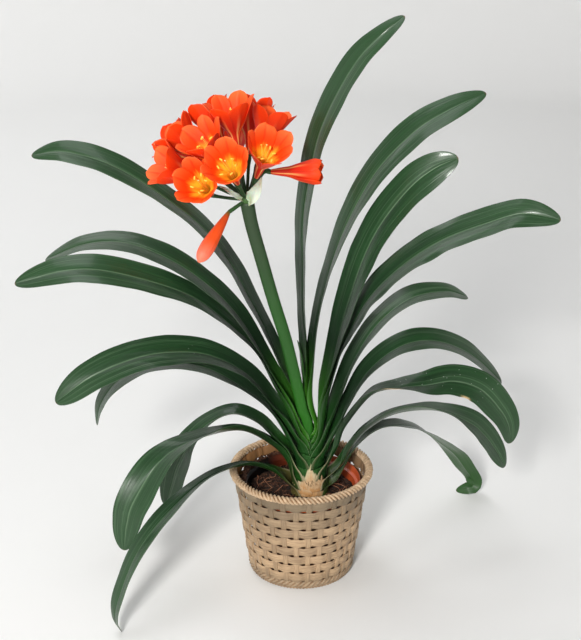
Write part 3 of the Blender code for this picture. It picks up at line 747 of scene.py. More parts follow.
@dataclass(frozen=True)
class LengthFinish:
    """A finish whose colour changes along a piece, with fine lines: stalks, husks, buds, bracts and stamens.

    Attributes:
        name: The material's name.
        stops: Colours, each with the value of the mark along where it is reached.
        lines: How many lines lie across u.
        stretch: How fast they change along v.
        line_share: How strongly they show.
        line_shade: What they make of the colour's brightness.
        roughness: The least roughness.
        bump: How strongly the lines are raised.
        subsurface: How much light passes under the skin.
        specular: The specular level.
    """

    name: str
    stops: tuple[tuple[float, Triple], ...]
    lines: float = 14.0
    stretch: float = 8.0
    line_share: float = 0.25
    line_shade: float = 0.6
    roughness: float = 0.42
    bump: float = 0.3
    subsurface: float = 0.0
    specular: float = 0.3

    def build(self, shared: SharedGroups) -> Material:
        """Builds the material.

        Args:
            shared: The shared shader groups.

        Returns:
            The material. It reads UV and the marks along and seed.
        """
        nodes = FinishNodes(self.name, shared)
        u, v = nodes.pattern_place()
        grain = nodes.grain(u, v, self.lines, self.stretch, nodes.mark("seed"))
        along = nodes.mark("along")
        body = nodes.coats(self.stops[0][1], *(
            (nodes.smooth(along, start, end), colour)
            for (start, _), (end, colour) in zip(self.stops, self.stops[1:])))
        lines = nodes.times(nodes.smooth(grain, 0.45, 0.75), self.line_share)
        body = nodes.blend(lines, body, nodes.scaled(body, self.line_shade))
        return nodes.settle({"Base Color": body, "Roughness": nodes.plus(self.roughness, grain, 0.15),
                             "Normal": nodes.bump(grain, 0.0004, self.bump)},
                            {"Specular IOR Level": self.specular, "Subsurface Weight": self.subsurface,
                             "Subsurface Scale": 0.004})


@dataclass(frozen=True)
class MottledFinish:
    """A finish of two colours in blotches with flecks of a third, for soil, chips, roots and moulded plastic.

    Attributes:
        name: The material's name.
        low: Colour between the blotches.
        high: Colour of the blotches.
        fleck: Colour of the flecks.
        scale: How fine the blotches are.
        fleck_scale: How fine the flecks are.
        roughness: The greatest roughness.
        bump: How strongly they are raised.
        bump_distance: How far they are raised.
        specular: The specular level.
    """

    name: str
    low: Triple
    high: Triple
    fleck: Triple
    scale: float
    fleck_scale: float
    roughness: float = 0.85
    bump: float = 0.6
    bump_distance: float = 0.0015
    specular: float = 0.3

    def build(self, shared: SharedGroups) -> Material:
        """Builds the material.

        Args:
            shared: The shared shader groups.

        Returns:
            The material. It reads Object coordinates and the mark tone.
        """
        nodes = FinishNodes(self.name, shared)
        wide = nodes.mottle(self.scale, 0.3, 0.7)
        small = nodes.mottle(self.fleck_scale, 0.5, 0.72)
        body = nodes.coats(nodes.blend(wide, self.low, self.high), (nodes.times(small, 0.35), self.fleck))
        gloss = nodes.calc("SUBTRACT", self.roughness, nodes.times(small, 0.1))
        height = nodes.plus(wide, small, 0.6)
        return nodes.settle({"Base Color": nodes.shift(body, nodes.mark("tone"), 0.5), "Roughness": gloss,
                             "Normal": nodes.bump(height, self.bump_distance, self.bump)},
                            {"Specular IOR Level": self.specular})


# Leaves

class Rank(Enum):
    """Which side of the fan a leaf grows on."""

    RIGHT = 1
    LEFT = -1


@dataclass(frozen=True)
class StrapLeaf:
    """One strap leaf. Path points are millimetres, and rolls are degrees at ROLL_PLACES along it.

    Attributes:
        name: The frame's node that it stands for.
        rank: Its side of the fan.
        nest: Radius of its sheath round the trunk's axis, in millimetres.
        start: Height of its foot, in millimetres.
        path: Its midrib after the sheath.
        width: Its full width, in millimetres.
        heading: How far it turns off the fan's plane, in degrees.
        rolls: How far its blade rolls toward the viewer.
        wrap: Half of what its sheath goes round, in degrees.
        heart: Whether it grows from the middle of the fan.
        taper: How blunt its tip is.
        fresh: How bright its foot is.
        aged: How olive its foot is.
        papery: How pale and torn its sheath's margins are.
        ripple: Height of the waves on its margins, in millimetres.
        scars: Torn dry places as (share of length, side, length in shares).
        specks: Where pale specks lie, as (first share, last share), if anywhere.
    """

    name: str
    rank: Rank
    nest: float
    start: float
    path: tuple[Triple, ...]
    width: float
    heading: float
    rolls: tuple[float, float, float, float, float]
    wrap: float = 90.0
    heart: bool = False
    taper: float = 3.0
    fresh: float = 0.2
    aged: float = 0.0
    papery: float = 0.0
    ripple: float = 0.25
    scars: tuple[Triple, ...] = ()
    specks: tuple[float, float] | None = None

    @property
    def clasp(self) -> float:
        """The share of the sheath left 20 mm up: the heart stays closed."""
        return 0.92 if self.heart else 0.62


NEST_AXIS = np.array([0.010, -0.005])
HEART_AXIS = np.array([0.010, -0.001])
WIDEST = 0.60
TIP_HALF_WIDTH = 0.0008
ROLL_PLACES = (0.20, 0.40, 0.60, 0.80, 0.95)
LEAVES = (
    StrapLeaf("leaf_young", Rank.LEFT, 2.5, 171,
              ((5.2, -1, 206), (1.5, -1, 240), (-1, -2, 270), (-5, -3, 292)), 12, 0, (0, 0, 0, 0, 0),
               heart=True, fresh=0.6),
    StrapLeaf("leaf_right_1", Rank.RIGHT, 3.65, 171,
              ((11, -1, 206), (7, 0, 260), (2, 1, 341), (1, 1, 420), (6, 1, 471), (16, 0, 523),
               (37, 0, 574), (59, 0, 611), (82, 0, 634), (106, 2, 654)), 42, 4, (15, 15, 19, 29, 38),
               heart=True, fresh=0.9),
    StrapLeaf("leaf_left_1", Rank.LEFT, 4.7, 171,
              ((-15, 1, 236), (-36, 3, 290), (-59, 8, 338), (-82, 12, 382), (-126, 20, 433),
               (-204, 36, 482), (-262, 48, 498), (-303, 56, 492)), 44, 12, (8, 7, 3, 19, 40), heart=True,
               fresh=0.8),
    StrapLeaf("leaf_right_2", Rank.RIGHT, 10.2, 176,
              ((12.5, -5, 222), (14.5, -5, 280), (22, -4, 341), (38, -4, 400), (57, -1, 448), (84, 3, 492),
               (123, 10, 532), (160, 17, 553), (198, 24, 569)), 44, 10, (9, 2, 11, 29, 41), fresh=0.8),
    StrapLeaf("leaf_left_2", Rank.LEFT, 11.15, 172,
              ((-18, -6, 221), (-37, -6, 260), (-73, 1, 323), (-117, 15, 361), (-161, 30, 384),
               (-206, 45, 393), (-253, 59, 386), (-299, 72, 363)), 44, 16, (2, 6, 8, 14, 22), fresh=0.7),
    StrapLeaf("leaf_right_3", Rank.RIGHT, 12.1, 168,
              ((28, -5, 225), (38, -5, 279), (52, -5, 340), (68, -7, 391), (88, -9, 435), (115, -12, 472),
               (141, -14, 495), (166, -17, 508)), 48, -6, (23, 36, 37, 44, 70), taper=4, fresh=0.6),
    StrapLeaf("leaf_left_3", Rank.LEFT, 13.05, 164,
              ((-24, -5, 221), (-49, -5, 275), (-72, -5, 304), (-115, -8, 342), (-169, -15, 368),
               (-224, -22, 383), (-267, -25, 382), (-315, -28, 369)), 46, -4, (15, 13, 19, 29, 38),
               fresh=0.5),
    StrapLeaf("leaf_right_4", Rank.RIGHT, 14, 160,
              ((31, -5, 222), (39, -6, 263), (48, -7, 291), (74, -10, 344), (109, -17, 386),
               (151, -26, 418), (197, -38, 442), (234, -47, 455), (272, -57, 451)), 46, -14,
               (32, 34, 29, 31, 54), fresh=0.4, ripple=0.7),
    StrapLeaf("leaf_left_4", Rank.LEFT, 14.95, 156,
              ((-19, -5, 188), (-33, -6, 212), (-61, -8, 251), (-105, -15, 279), (-149, -22, 285),
               (-193, -30, 279), (-237, -37, 261), (-276, -44, 233)), 48, -10, (28, 22, 24, 32, 50),
               fresh=0.3, specks=(0.5, 0.56)),
    StrapLeaf("leaf_right_5", Rank.RIGHT, 15.9, 152,
              ((34, -5, 190), (44, -5, 225), (60, -3, 269), (87, 3, 310), (123, 16, 336), (164, 30, 339),
               (192, 41, 328)), 42, 20, (10, 0, -2, 9, 18), fresh=0.3),
    StrapLeaf("leaf_left_5", Rank.LEFT, 16.85, 137,
              ((-24, -5, 186), (-40, -4, 210), (-63, -2, 230), (-90, 1, 247), (-118, 7, 256),
               (-150, 15, 257), (-185, 27, 245), (-219, 37, 221), (-240, 44, 190), (-246, 46, 162)), 40, 17,
               (-1, 8, 13, 29, 39), fresh=0.2, papery=0.15),
    StrapLeaf("leaf_right_6", Rank.RIGHT, 17.8, 140,
              ((46, -5, 192), (54, -5, 213), (76, -3, 254), (111, 5, 280), (151, 13, 285), (193, 22, 267),
               (236, 32, 224)), 42, 12, (8, 11, 14, 19, 26), fresh=0.2, papery=0.15),
    StrapLeaf("leaf_left_6", Rank.LEFT, 20, 122,
              ((-20, -5, 156), (-34, -5, 174), (-52, -4, 192), (-78, -2, 201), (-105, 3, 187),
               (-130, 7, 159), (-147, 9, 126), (-155, 10, 99), (-163, 11, 71)), 40, 8, (12, 0, 22, 60, 70),
               wrap=74, fresh=0.4, papery=0.7),
    StrapLeaf("leaf_right_7", Rank.RIGHT, 20, 124,
              ((43, -5, 160), (52, -5, 186), (80, -8, 226), (111, -11, 237), (142, -15, 242),
               (173, -19, 248), (203, -23, 240), (226, -26, 217), (237, -27, 197), (240, -27, 174)), 44, -7,
               (-9, -9, 24, 47, 53), wrap=72, fresh=0.1, papery=0.6, ripple=0.5,
               scars=((0.445, -1, 0.030), (0.71, -1, 0.018)), specks=(0.42, 0.8)),
    StrapLeaf("leaf_left_7", Rank.LEFT, 21.2, 110,
              ((-18, -7, 142), (-35, -13, 165), (-70, -33, 194), (-114, -58, 197), (-156, -83, 181),
               (-186, -100, 140), (-195, -106, 112), (-199, -109, 82)), 44, -30, (0, -21, -2, 39, 48),
               wrap=60, fresh=0.3, aged=0.2, papery=0.5),
    StrapLeaf("leaf_right_8", Rank.RIGHT, 21.2, 110,
              ((49, -5, 138), (59, -3, 157), (79, 2, 179), (113, 12, 195), (158, 24, 192), (201, 37, 170),
               (221, 42, 151), (237, 47, 127), (250, 51, 103)), 42, 16, (-25, -25, -1, 43, 58), wrap=56,
               fresh=0.1, aged=0.2, papery=0.8),
    StrapLeaf("leaf_left_8", Rank.LEFT, 22.4, 99,
              ((-24, -11, 122), (-38, -22, 137), (-67, -45, 155), (-108, -76, 153), (-150, -109, 128),
               (-182, -134, 91), (-202, -149, 46), (-206, -151, 20), (-201, -147, 0.7)), 30, -36,
               (-16, -16, -2, -7, -6), wrap=66, fresh=0.35, aged=0.9, papery=0.4),
    StrapLeaf("leaf_right_9", Rank.RIGHT, 22.4, 99,
              ((43, -2, 117), (67, 26, 145), (102, 59, 154), (150, 104, 127), (196, 146, 76),
               (219, 165, 40), (231, 174, 20), (231, 173, 10), (224, 172, 7.5), (209, 175, 2)), 32, 42,
               (-16, 10, 0, -23, -24), wrap=54, fresh=0.45, aged=0.3),
)


@dataclass
class LeafFan:
    """The two-sided fan of strap leaves.

    Attributes:
        rings: Rows of points along a leaf.
        half_columns: Shares of the half width where columns lie, from the midrib out.
        sheath_thickness: Thickness of a sheath.
        blade_thickness: Thickness of a blade at its midrib.
        margin_share: Thickness at the margin over that at the midrib.
        rib_depth: Depth of the channel over the midrib.
        half_crown: How far each half of a blade is crowned, over its half width.
        petiole: Half width at 50 mm from the foot, over the blade's half width.
        waist: The same at 28 % of the length.
        shoulder: The same at 45 % of the length.
        ripples: Length of each wave on the margins, with its share of the leaf's ripple.
        swell: Height and length of the slow wave in the middle of a blade.
        scar_depth: How far a torn margin is drawn in.
    """

    rings: int = 110
    half_columns: tuple[float, ...] = (0.0, 0.03, 0.07, 0.15, 0.30, 0.48, 0.66, 0.82, 0.93, 0.98, 1.0)
    sheath_thickness: float = 0.00060
    blade_thickness: float = 0.00110
    margin_share: float = 0.40
    rib_depth: float = 0.00055
    half_crown: float = 0.050
    petiole: float = 0.58
    waist: float = 0.64
    shoulder: float = 0.84
    ripples: tuple[tuple[float, float], ...] = ((0.062, 1.0), (0.037, 0.6))
    swell: tuple[float, float] = (0.0005, 0.11)
    scar_depth: float = 0.0012

    def middle(self, leaf: StrapLeaf) -> tuple[Array, Array, Array, Array]:
        """Works out a leaf's mid surface.

        Its midrib is a curve. Its section is an arc of half angle g, which wraps the trunk at the foot and
        opens along the leaf: P = M + r sin(gs) W + r(1 − cos gs) N with r = width/g. W and N roll about the
        midrib.

        Args:
            leaf: The leaf.

        Returns:
            The surface, the distance along the leaf at each row, the share across at each column, and the
            half width at each row.
        """
        share = np.array([-s for s in self.half_columns[:0:-1]] + list(self.half_columns))
        rows = np.linspace(0, 1, self.rings) ** 1.05
        rows = np.concatenate([rows[:-1], 1 - (1 - rows[-2]) * np.array([0.5, 0.2, 0.0])])
        side = leaf.rank.value
        axis = HEART_AXIS if leaf.heart else NEST_AXIS
        foot = np.array([axis[0] + side * leaf.nest * MM, axis[1], leaf.start * MM])
        rise = np.array([side * 0.0006, 0, 0.010])
        line, tangent, length = spline_through(np.vstack([foot, foot + rise, np.array(leaf.path) * MM]), rows)
        run = rows * length
        half = leaf.width * MM / 2
        wrap = math.radians(leaf.wrap)
        foot_half = leaf.nest * MM * wrap
        width = eased(run, [0, 0.020, 0.050, 0.28 * length, 0.45 * length, WIDEST * length],
                      [foot_half, leaf.clasp * foot_half, self.petiole * half, self.waist * half,
                       self.shoulder * half, half])
        beyond = np.clip((rows - WIDEST) / (1 - WIDEST), 0, 1)
        width = np.maximum(width * np.sqrt(1 - beyond ** leaf.taper), TIP_HALF_WIDTH)
        gutter = eased(run, [0, 0.02, 0.05, 0.10, 0.18, 0.30],
                       [wrap, wrap * leaf.clasp, 1.25, 0.85, 0.45, 0.24])
        turn = math.radians(leaf.heading) * np.clip((run - 0.02) / 0.06, 0, 1)
        across = np.stack([-side * np.sin(turn), np.cos(turn), 0 * turn], 1)
        across = unit(across - tangent * np.sum(across * tangent, 1)[:, None])
        inward = unit(np.cross(tangent, across) * side)
        lean = np.radians(eased(rows, [0, 0.10, *ROLL_PLACES], [0, 0, *leaf.rolls]))[:, None]
        across_turned = np.cos(lean) * across + np.sin(lean) * inward
        inward_turned = np.cos(lean) * inward - np.sin(lean) * across
        bend = gutter[:, None, None] * share[None, :, None]
        radius = (width / gutter)[:, None, None]
        surface = (line[:, None] + radius * np.sin(bend) * across_turned[:, None]
                   + radius * (1 - np.cos(bend)) * inward_turned[:, None])
        return surface, run, share, width

    def relief(self, leaf: StrapLeaf, run: Array, s: Array, width: Array, draw: np.random.Generator) -> Array:
        """Works out how far a blade's mid surface is raised: crowned halves, a channel and waved margins.

        Args:
            leaf: The leaf.
            run: Distance along the leaf, as a column.
            s: Share across, as a row.
            width: Half width, as a column.
            draw: Source of the waves' phases.

        Returns:
            The height at each point.
        """
        phase = draw.uniform(0, TURN, 3)
        crown = self.half_crown * width * np.sin(np.pi * np.abs(s))
        channel = -self.rib_depth * np.exp(-(s / 0.075) ** 2) * np.minimum(width / 0.012, 1)
        waved = sum(share * np.sin(run * TURN / length + shift)
                    for (length, share), shift in zip(self.ripples, phase))
        ripple = leaf.ripple * MM * waved * np.sign(s) * np.abs(s) ** 3
        swell = self.swell[0] * np.sin(run * TURN / self.swell[1] + phase[2]) * (1 - s ** 2)
        return (crown + channel + ripple + swell) * (step(0.05, 0.14, run) * np.minimum(width / 0.008, 1))

    def patch(self, leaf: StrapLeaf, seed: int) -> Patch:
        """Builds a leaf's closed skin with its marks.

        Args:
            leaf: The leaf.
            seed: Which waves it gets.

        Returns:
            The skin. Its columns run the same way round on both sides of the fan.
        """
        surface, run, share, width = self.middle(leaf)
        side = leaf.rank.value
        rows = (run / run[-1])[:, None]
        s = share[None, :]
        width = width[:, None]
        normal = unit(np.cross(np.gradient(surface, axis=0), np.gradient(surface, axis=1))) * side
        relief = self.relief(leaf, run[:, None], s, width, np.random.default_rng(100 + seed))
        surface = surface + normal * relief[..., None]
        thinner = self.blade_thickness - self.sheath_thickness
        thick = self.sheath_thickness + thinner * step(0.15, 0.35, rows)
        thickness = thick * (self.margin_share + (1 - self.margin_share) * (1 - s ** 4))
        thickness = thickness * np.minimum(0.35 + width / 0.010, 1)
        scar = np.zeros(surface.shape[:2])
        for place, edge, reach in leaf.scars:
            scar = np.maximum(scar, np.exp(-((rows - place) / reach) ** 4) * step(0.84, 0.97, s * edge))
        surface = surface - np.sign(s)[..., None] * scar[..., None] * self.scar_depth * unit(
            np.gradient(surface, axis=1))
        speck = 0.0
        if leaf.specks is not None:
            starts, ends = (step(place - 0.01, place + 0.01, rows) for place in leaf.specks)
            speck = starts * (1 - ends)
        marks = {"share": rows, "seed": float(seed), "fresh": leaf.fresh, "aged": leaf.aged,
                 "papery": leaf.papery, "scar": scar[:, ::side], "speck": speck}
        return blade(surface[:, ::side], thickness[:, ::side], s[:, ::side] / 2 + 0.5, run[:, None], marks)

    def build(self, finish: Material) -> None:
        """Builds every leaf.

        Args:
            finish: The leaf material.
        """
        for seed, leaf in enumerate(LEAVES):
            make_piece(f"{leaf.name}_blade", [self.patch(leaf, seed)], finish, [leaf.name])


# Basket

def flat_oval(sides: int, thickness: float) -> tuple[Array, Array]:
    """Works out the section of a flat strip: a squared oval, |cos a|^0.7 deep by |sin a|^0.4 wide.

    Args:
        sides: Corners of the section.
        thickness: The strip's thickness.

    Returns:
        How far each corner lies out from the middle, and its share across from -1 to 1.
    """
    angle = bearings(sides, 0.5)
    deep = thickness / 2 * np.sign(np.cos(angle)) * np.abs(np.cos(angle)) ** 0.7
    return deep, np.sign(np.sin(angle)) * np.abs(np.sin(angle)) ** 0.4


def flattened(values: Array) -> Array:
    """Returns a sine made flatter on its crests, tanh(2.2x)/tanh(2.2)."""
    return np.tanh(2.2 * values) / math.tanh(2.2)


def inside_brown_and_shade(bearing: Values) -> Values:
    """Returns how much brown is laid on the basket's inside at a bearing: some all round, and most at its
    left as painted shade, the side in shade.
    """
    return 0.68 - 0.32 * np.cos(bearing)


@dataclass(frozen=True)
class LaidRing:
    """A laid rope in a ring: each strand's centre winds round the ring's line, (lay cos q, lay sin q).

    Attributes:
        ring: Radius of the ring's line.
        height: Its height.
        lay: From that line to a strand's centre.
        thick: Radius of a strand.
        strands: How many strands there are.
        turns: How often each winds round the line, below zero for the other way.
        seed: Source of its tones.
        squash: The rope's depth over its height.
        sides: Corners of a strand's section.
        steps: Rows of points for each turn.
    """

    ring: float
    height: float
    lay: float
    thick: float
    strands: int
    turns: int
    seed: int
    squash: float = 1.0
    sides: int = 9
    steps: int = 14

    def patches(self) -> list[Patch]:
        """Builds the strands.

        Returns:
            One endless patch for each strand.
        """
        draw = np.random.default_rng(self.seed)
        bearing = bearings(abs(self.turns) * self.steps)[:, None]
        section = bearings(self.sides)[None, :]
        patches = []
        for strand in range(self.strands):
            wind = self.turns * bearing + TURN * strand / self.strands
            wobble = 1 + 0.05 * np.sin(bearing * 23 + strand) + 0.04 * np.sin(bearing * 41 + 2 * strand)
            reach = self.ring + self.squash * self.lay * np.cos(wind) * wobble
            level = self.height + self.lay * np.sin(wind) * wobble
            grow = self.thick * (1 + 0.05 * np.sin(bearing * 31 + strand))
            points = polar(reach + self.squash * grow * np.cos(section), bearing,
                           level + grow * np.sin(section))
            uv = grid(section / TURN + wind / TURN * 0.6, bearing * self.ring)
            line = grid(np.cos(bearing), np.sin(bearing)) * self.ring
            tone = 0.5 * waves(line, 0.02, self.seed + strand) + draw.uniform(-0.3, 0.3)
            # Painted shade: the side of each strand that faces the rope's core, in the creases between
            # strands, is given the inside brown through the mark inner.
            crease = 0.6 * step(0.35, -0.35, np.cos(section - wind))
            marks = {"tone": tone, "inner": crease, "high": 0.3}
            patches.append(Patch(points, uv, marks, endless=True, turn=1.0))
        return patches


@dataclass
class WovenBasket:
    """The cover basket: flat bands woven over and under upright stakes, with a foot and a rim of laid rope.

    Attributes:
        height: Height of the wall.
        foot_radius: Plain outer radius at the foot.
        top_radius: Plain outer radius at the top.
        stakes: Number of stakes.
        stake_turn: The angle of the first one.
        tuck: How far the weave goes up into the rope.
        bands: Number of bands.
        foot_height: Height of the laid foot.
        swing: How far bands and stakes pass out and in.
        stake_out: How far a stake passes out, over how far it passes in.
        strip: Thickness of a strip.
        set_back: From the plain outer radius in to the middle of the weave.
        stake_share: A stake's width over the pitch.
        gap: From a band's edge to the middle between two bands, where it crosses a stake.
        slit: How much further its edges draw in between two stakes.
        band_crown: How much thicker a band is along its middle, on each side.
        stake_crown: The same for a stake.
        rope_ring: Radius of the rim rope's ring.
        rope_height: Height of that rope's centre.
    """

    height: float = 0.1236
    foot_radius: float = 0.0615
    top_radius: float = 0.0795
    stakes: int = 32
    stake_turn: float = math.radians(6.2)
    tuck: float = 0.0022
    bands: int = 9
    foot_height: float = 0.0105
    swing: float = 0.00090
    stake_out: float = 0.55
    strip: float = 0.00105
    set_back: float = 0.00120
    stake_share: float = 0.43
    gap: float = 0.00022
    slit: float = 0.00092
    band_crown: float = 0.00080
    stake_crown: float = 0.00018
    rope_ring: float = 0.0803
    rope_height: float = 0.1280

    @property
    def pitch(self) -> float:
        """The height from one band to the next."""
        return (self.height - self.foot_height) / self.bands

    def radius(self, height: Values) -> Values:
        """Returns the radius of the middle of the weave at a height."""
        return self.foot_radius + (self.top_radius - self.foot_radius) * height / self.height - self.set_back

    def band(self, index: int, draw: np.random.Generator) -> Patch:
        """Builds a band: a flat oval round the wall, out over every second stake and in behind the next.

        Args:
            index: Its row, counted from the foot.
            draw: Source of its tones.

        Returns:
            The band's ring.
        """
        angle = bearings(self.stakes * 10)[:, None]
        tuck = self.tuck / 2 if index == self.bands - 1 else 0.0
        level = self.foot_height + (index + 0.5) * self.pitch + tuck
        wave = self.stakes * (angle - self.stake_turn) / 2
        offset = -self.swing * flattened(np.cos(wave + np.pi * index))
        half = self.pitch / 2 + tuck - self.gap - self.slit * np.sin(wave) ** 2
        deep, tall = flat_oval(16, self.strip)
        height = level + half * tall
        reach = self.radius(height) + offset + (deep + np.sign(deep) * (self.band_crown * (1 - tall ** 2)))
        cells = draw.uniform(-1, 1, self.stakes // 2)
        cell = np.floor((wave + np.pi * index) / TURN).astype(int) % len(cells)
        # The mark inner gives the inside's brown, painted darker at the left as shade.
        marks = {"tone": 0.6 * cells[cell] + 0.4 * draw.uniform(-1, 1), "inner": inside_brown_and_shade(angle) * (deep < 0),
                 "high": index / (self.bands - 1)}
        uv = grid(tall / 2 + 0.5, angle * self.top_radius)
        return Patch(polar(reach, angle, height), uv, marks, endless=True)

    def stake(self, index: int, draw: np.random.Generator) -> Patch:
        """Builds a stake: a flat oval carried up the wall, out over every second band and in behind the next.

        Args:
            index: Its number round the wall.
            draw: Source of its tone.

        Returns:
            The stake.
        """
        height = np.linspace(self.foot_height * 0.5, self.height + self.tuck, self.bands * 9 + 1)[:, None]
        swing = (-1) ** index * flattened(np.cos(np.pi * ((height - self.foot_height) / self.pitch - 0.5)))
        offset = self.swing * np.where(swing > 0, self.stake_out, 1.0) * swing
        offset = offset * step(self.foot_height * 0.6, self.foot_height * 1.1, height)
        offset = offset * (1 - step(self.height - 0.0005, self.height + self.tuck, height))
        angle = self.stake_turn + TURN * index / self.stakes
        out = np.array([math.cos(angle), math.sin(angle), 0])
        aside = np.array([-math.sin(angle), math.cos(angle), 0])
        deep, wide = flat_oval(12, self.strip)
        half = self.stake_share * np.pi * self.radius(height) / self.stakes
        reach = self.radius(height) + offset + deep + np.sign(deep) * self.stake_crown * (1 - wide ** 2)
        place = reach[..., None] * out + (half * wide)[..., None] * aside
        place[..., 2] += height
        # The mark inner gives the inside's brown, painted darker at the left as shade.
        marks = {"tone": draw.uniform(-0.9, 0.5), "inner": np.where(deep < 0, inside_brown_and_shade(angle), 0.0),
                 "high": height / self.height}
        return Patch(place, grid(wide / 2 + 0.5, height), marks)

    def base(self) -> Patch:
        """Builds the round base that closes the foot: a plate with rings of low ridges under it.

        Returns:
            Its closed skin.
        """
        edge = self.foot_radius - 0.0030
        under = [(r, 0.0003 + 0.0003 * (1 - math.cos(TURN * r / 0.004)))
                 for r in np.linspace(0.0005, edge, 46)]
        top = [(r, 0.0026) for r in np.linspace(edge, 0.0005, 6)]
        return turned(under + top, 96, {"tone": 0.0, "inner": 0.25, "high": 0.0})

    def build(self, strips: Material, cord: Material) -> None:
        """Builds the basket.

        Args:
            strips: The material of the flat strips.
            cord: The material of the foot and the rope.
        """
        draw = np.random.default_rng(7)
        foot = LaidRing(self.foot_radius - 0.0012, 0.0067, 0.0021, 0.0022, 3, 20, 11, squash=0.75)
        hem = LaidRing(self.foot_radius - 0.0016, 0.0018, 0.0007, 0.00105, 2, 50, 12)
        rope = LaidRing(self.rope_ring, self.rope_height, 0.00240, 0.00225, 3, -34, 13)
        wall = ["basket_wall"]
        bands = [self.band(index, draw) for index in range(self.bands)]
        make_piece("basket_bands", bands, strips, wall)
        stakes = [self.stake(index, draw) for index in range(self.stakes)]
        make_piece("basket_stakes", stakes, strips, wall)
        make_piece("basket_foot", foot.patches() + hem.patches(), cord, wall)
        make_piece("basket_base", [self.base()], strips, wall)
        make_piece("basket_rope", rope.patches(), cord, ["basket_rope_rim"])


# Pot, soil and trunk

@dataclass
class PotAndSoil:
    """The nursery pot with its soil, bark chips and the roots that lie on it.

    Attributes:
        rim_radius: Outer radius of the pot's rim band.
        top_radius: Outer radius of the wall at the top.
        foot_radius: Outer radius at the foot.
        top: Height of the rim.
        base: Height of the pot's underside.
        wall: Wall thickness.
        soil_top: Height of the soil at the wall.
        hump: How much the soil rises to the trunk.
        chips: Number of bark chips.
        spilt: How many more lie on the pot's rim at its left.
        roots: Number of roots.
        strewn: How far out chips and roots lie.
        trunk_room: How far from the trunk's axis they stay.
    """

    rim_radius: float = 0.0700
    top_radius: float = 0.0672
    foot_radius: float = 0.0510
    top: float = 0.1150
    base: float = 0.0033
    wall: float = 0.0016
    soil_top: float = 0.1000
    hump: float = 0.0025
    chips: int = 900
    spilt: int = 330
    roots: int = 34
    strewn: tuple[float, float] = (0.0605, 0.0600)
    trunk_room: tuple[float, float] = (0.0235, 0.024)

    def pot(self) -> Patch:
        """Builds the pot's wall, with its rounded rim band and a step inside it, and painted shade on its rim
        and on the wall below it.

        Returns:
            Its closed skin.
        """
        rim, top, wall_top = self.rim_radius, self.top, self.top_radius
        inside = [(0.0005, self.base + 0.002), (self.foot_radius - self.wall, self.base + 0.002),
                  (wall_top - self.wall - 0.0009, top - 0.0090), (rim - 0.0026, top - 0.0080),
                  (rim - 0.0016, top - 0.0068), (rim - 0.0014, top - 0.0005)]
        edge = [(rim - 0.0010, top), (rim - 0.0004, top), (rim, top - 0.0006), (rim, top - 0.0078)]
        outside = [(rim - 0.0005, top - 0.0083), (wall_top - 0.0004, top - 0.0083),
                   (wall_top - 0.0010, top - 0.0090), (self.foot_radius, self.base), (0.0005, self.base)]
        profile = inside + edge + outside
        sides = 128
        bearing = bearings(sides)
        # Painted shade: the pot is darkened toward its back and left, the side in shade, and its wall below
        # the rim, seen through the weave, is painted near black.
        shade_by_bearing = -0.95 + 0.90 * np.cos(bearing + 0.45) - 0.5 * step(0.3, 0.9, -np.cos(bearing))
        below_rim = np.arange(len(profile)) >= len(inside + edge)
        return turned(profile, sides, {"tone": np.where(below_rim[:, None], -1.85, shade_by_bearing)})

    def ground(self, x: Values, y: Values) -> Array:
        """Works out the soil's height: a low hump, long waves and small crumbs.

        Args:
            x: Places to the right of the basket's axis.
            y: Places behind it.

        Returns:
            The height at each place.
        """
        place = np.stack([x, y], -1)
        rise = self.hump * (1 - step(0.025, 0.062, np.hypot(x, y)))
        return (self.soil_top - 0.0008 + rise + 0.0012 * waves(place, 0.030, 21)
                + 0.0007 * waves(place, 0.009, 22) + 0.0004 * waves(place, 0.004, 23))

    def soil(self) -> Patch:
        """Builds the soil: a fine uneven top, and plain sides and underside.

        Returns:
            Its closed skin.
        """
        edge = self.top_radius - self.wall - 0.0009 - (self.top - self.soil_top) * 0.13
        radius = np.concatenate([np.linspace(0.0004, edge, 64), [edge - 0.0004, 0.0485, 0.0004]])[:, None]
        uv = polar(radius, bearings(180), 0.0)[..., :2]
        z = self.ground(uv[..., 0], uv[..., 1])
        z[-3] = self.soil_top - 0.006
        z[-2:] = self.base + 0.0023
        z[:-3] = np.where(radius[:-3] > edge - 0.003, np.minimum(z[:-3], self.soil_top + 0.0006), z[:-3])
        return Patch(np.concatenate([uv, z[..., None]], -1), uv, {"tone": -0.5 + 0.5 * waves(uv, 0.012, 24)})

    def chip_patches(self) -> list[Patch]:
        """Builds the bark chips: small uneven slabs strewn over the soil, clear of the trunk.

        Returns:
            One patch for each chip.
        """
        draw = np.random.default_rng(31)
        rows = np.array([-1.0, -0.6, 0.6, 1.0])[:, None]
        angle = bearings(6)
        patches = []
        while len(patches) < self.chips + self.spilt:
            over_rim = len(patches) >= self.chips
            spot = draw.uniform(-0.072, 0.072, 2)
            away = np.hypot(*spot)
            if over_rim and (not 0.0655 < away < 0.0712 or spot[0] > 0.01 * draw.normal() - 0.018):
                continue
            if not over_rim and (away > self.strewn[0] or np.hypot(*(spot - NEST_AXIS)) < self.trunk_room[0]):
                continue
            size = np.array([draw.uniform(1.2, 4.2), draw.uniform(0.8, 2.2), draw.uniform(0.35, 0.9)]) * MM
            girth = (np.array([0.55, 1.0, 0.9, 0.5]) * draw.uniform(0.8, 1.15, 4))[:, None]
            slab = grid(rows, girth * np.cos(angle), girth * np.sin(angle)) * size / 1.3
            slab += draw.normal(scale=0.00018, size=slab.shape)
            spin = Matrix.Rotation(draw.uniform(0, 6.3), 3, "Z")
            spin = spin @ Matrix.Rotation(draw.normal(0, 0.45), 3, "Y")
            level = self.top + 0.0006 if over_rim else self.ground(spot[0], spot[1])
            slab = slab @ np.array(spin).T + [*spot, level + size[2] * 0.4]
            patches.append(Patch(slab, slab[..., :2], {"tone": draw.uniform(-1, 1.1)}))
        return patches

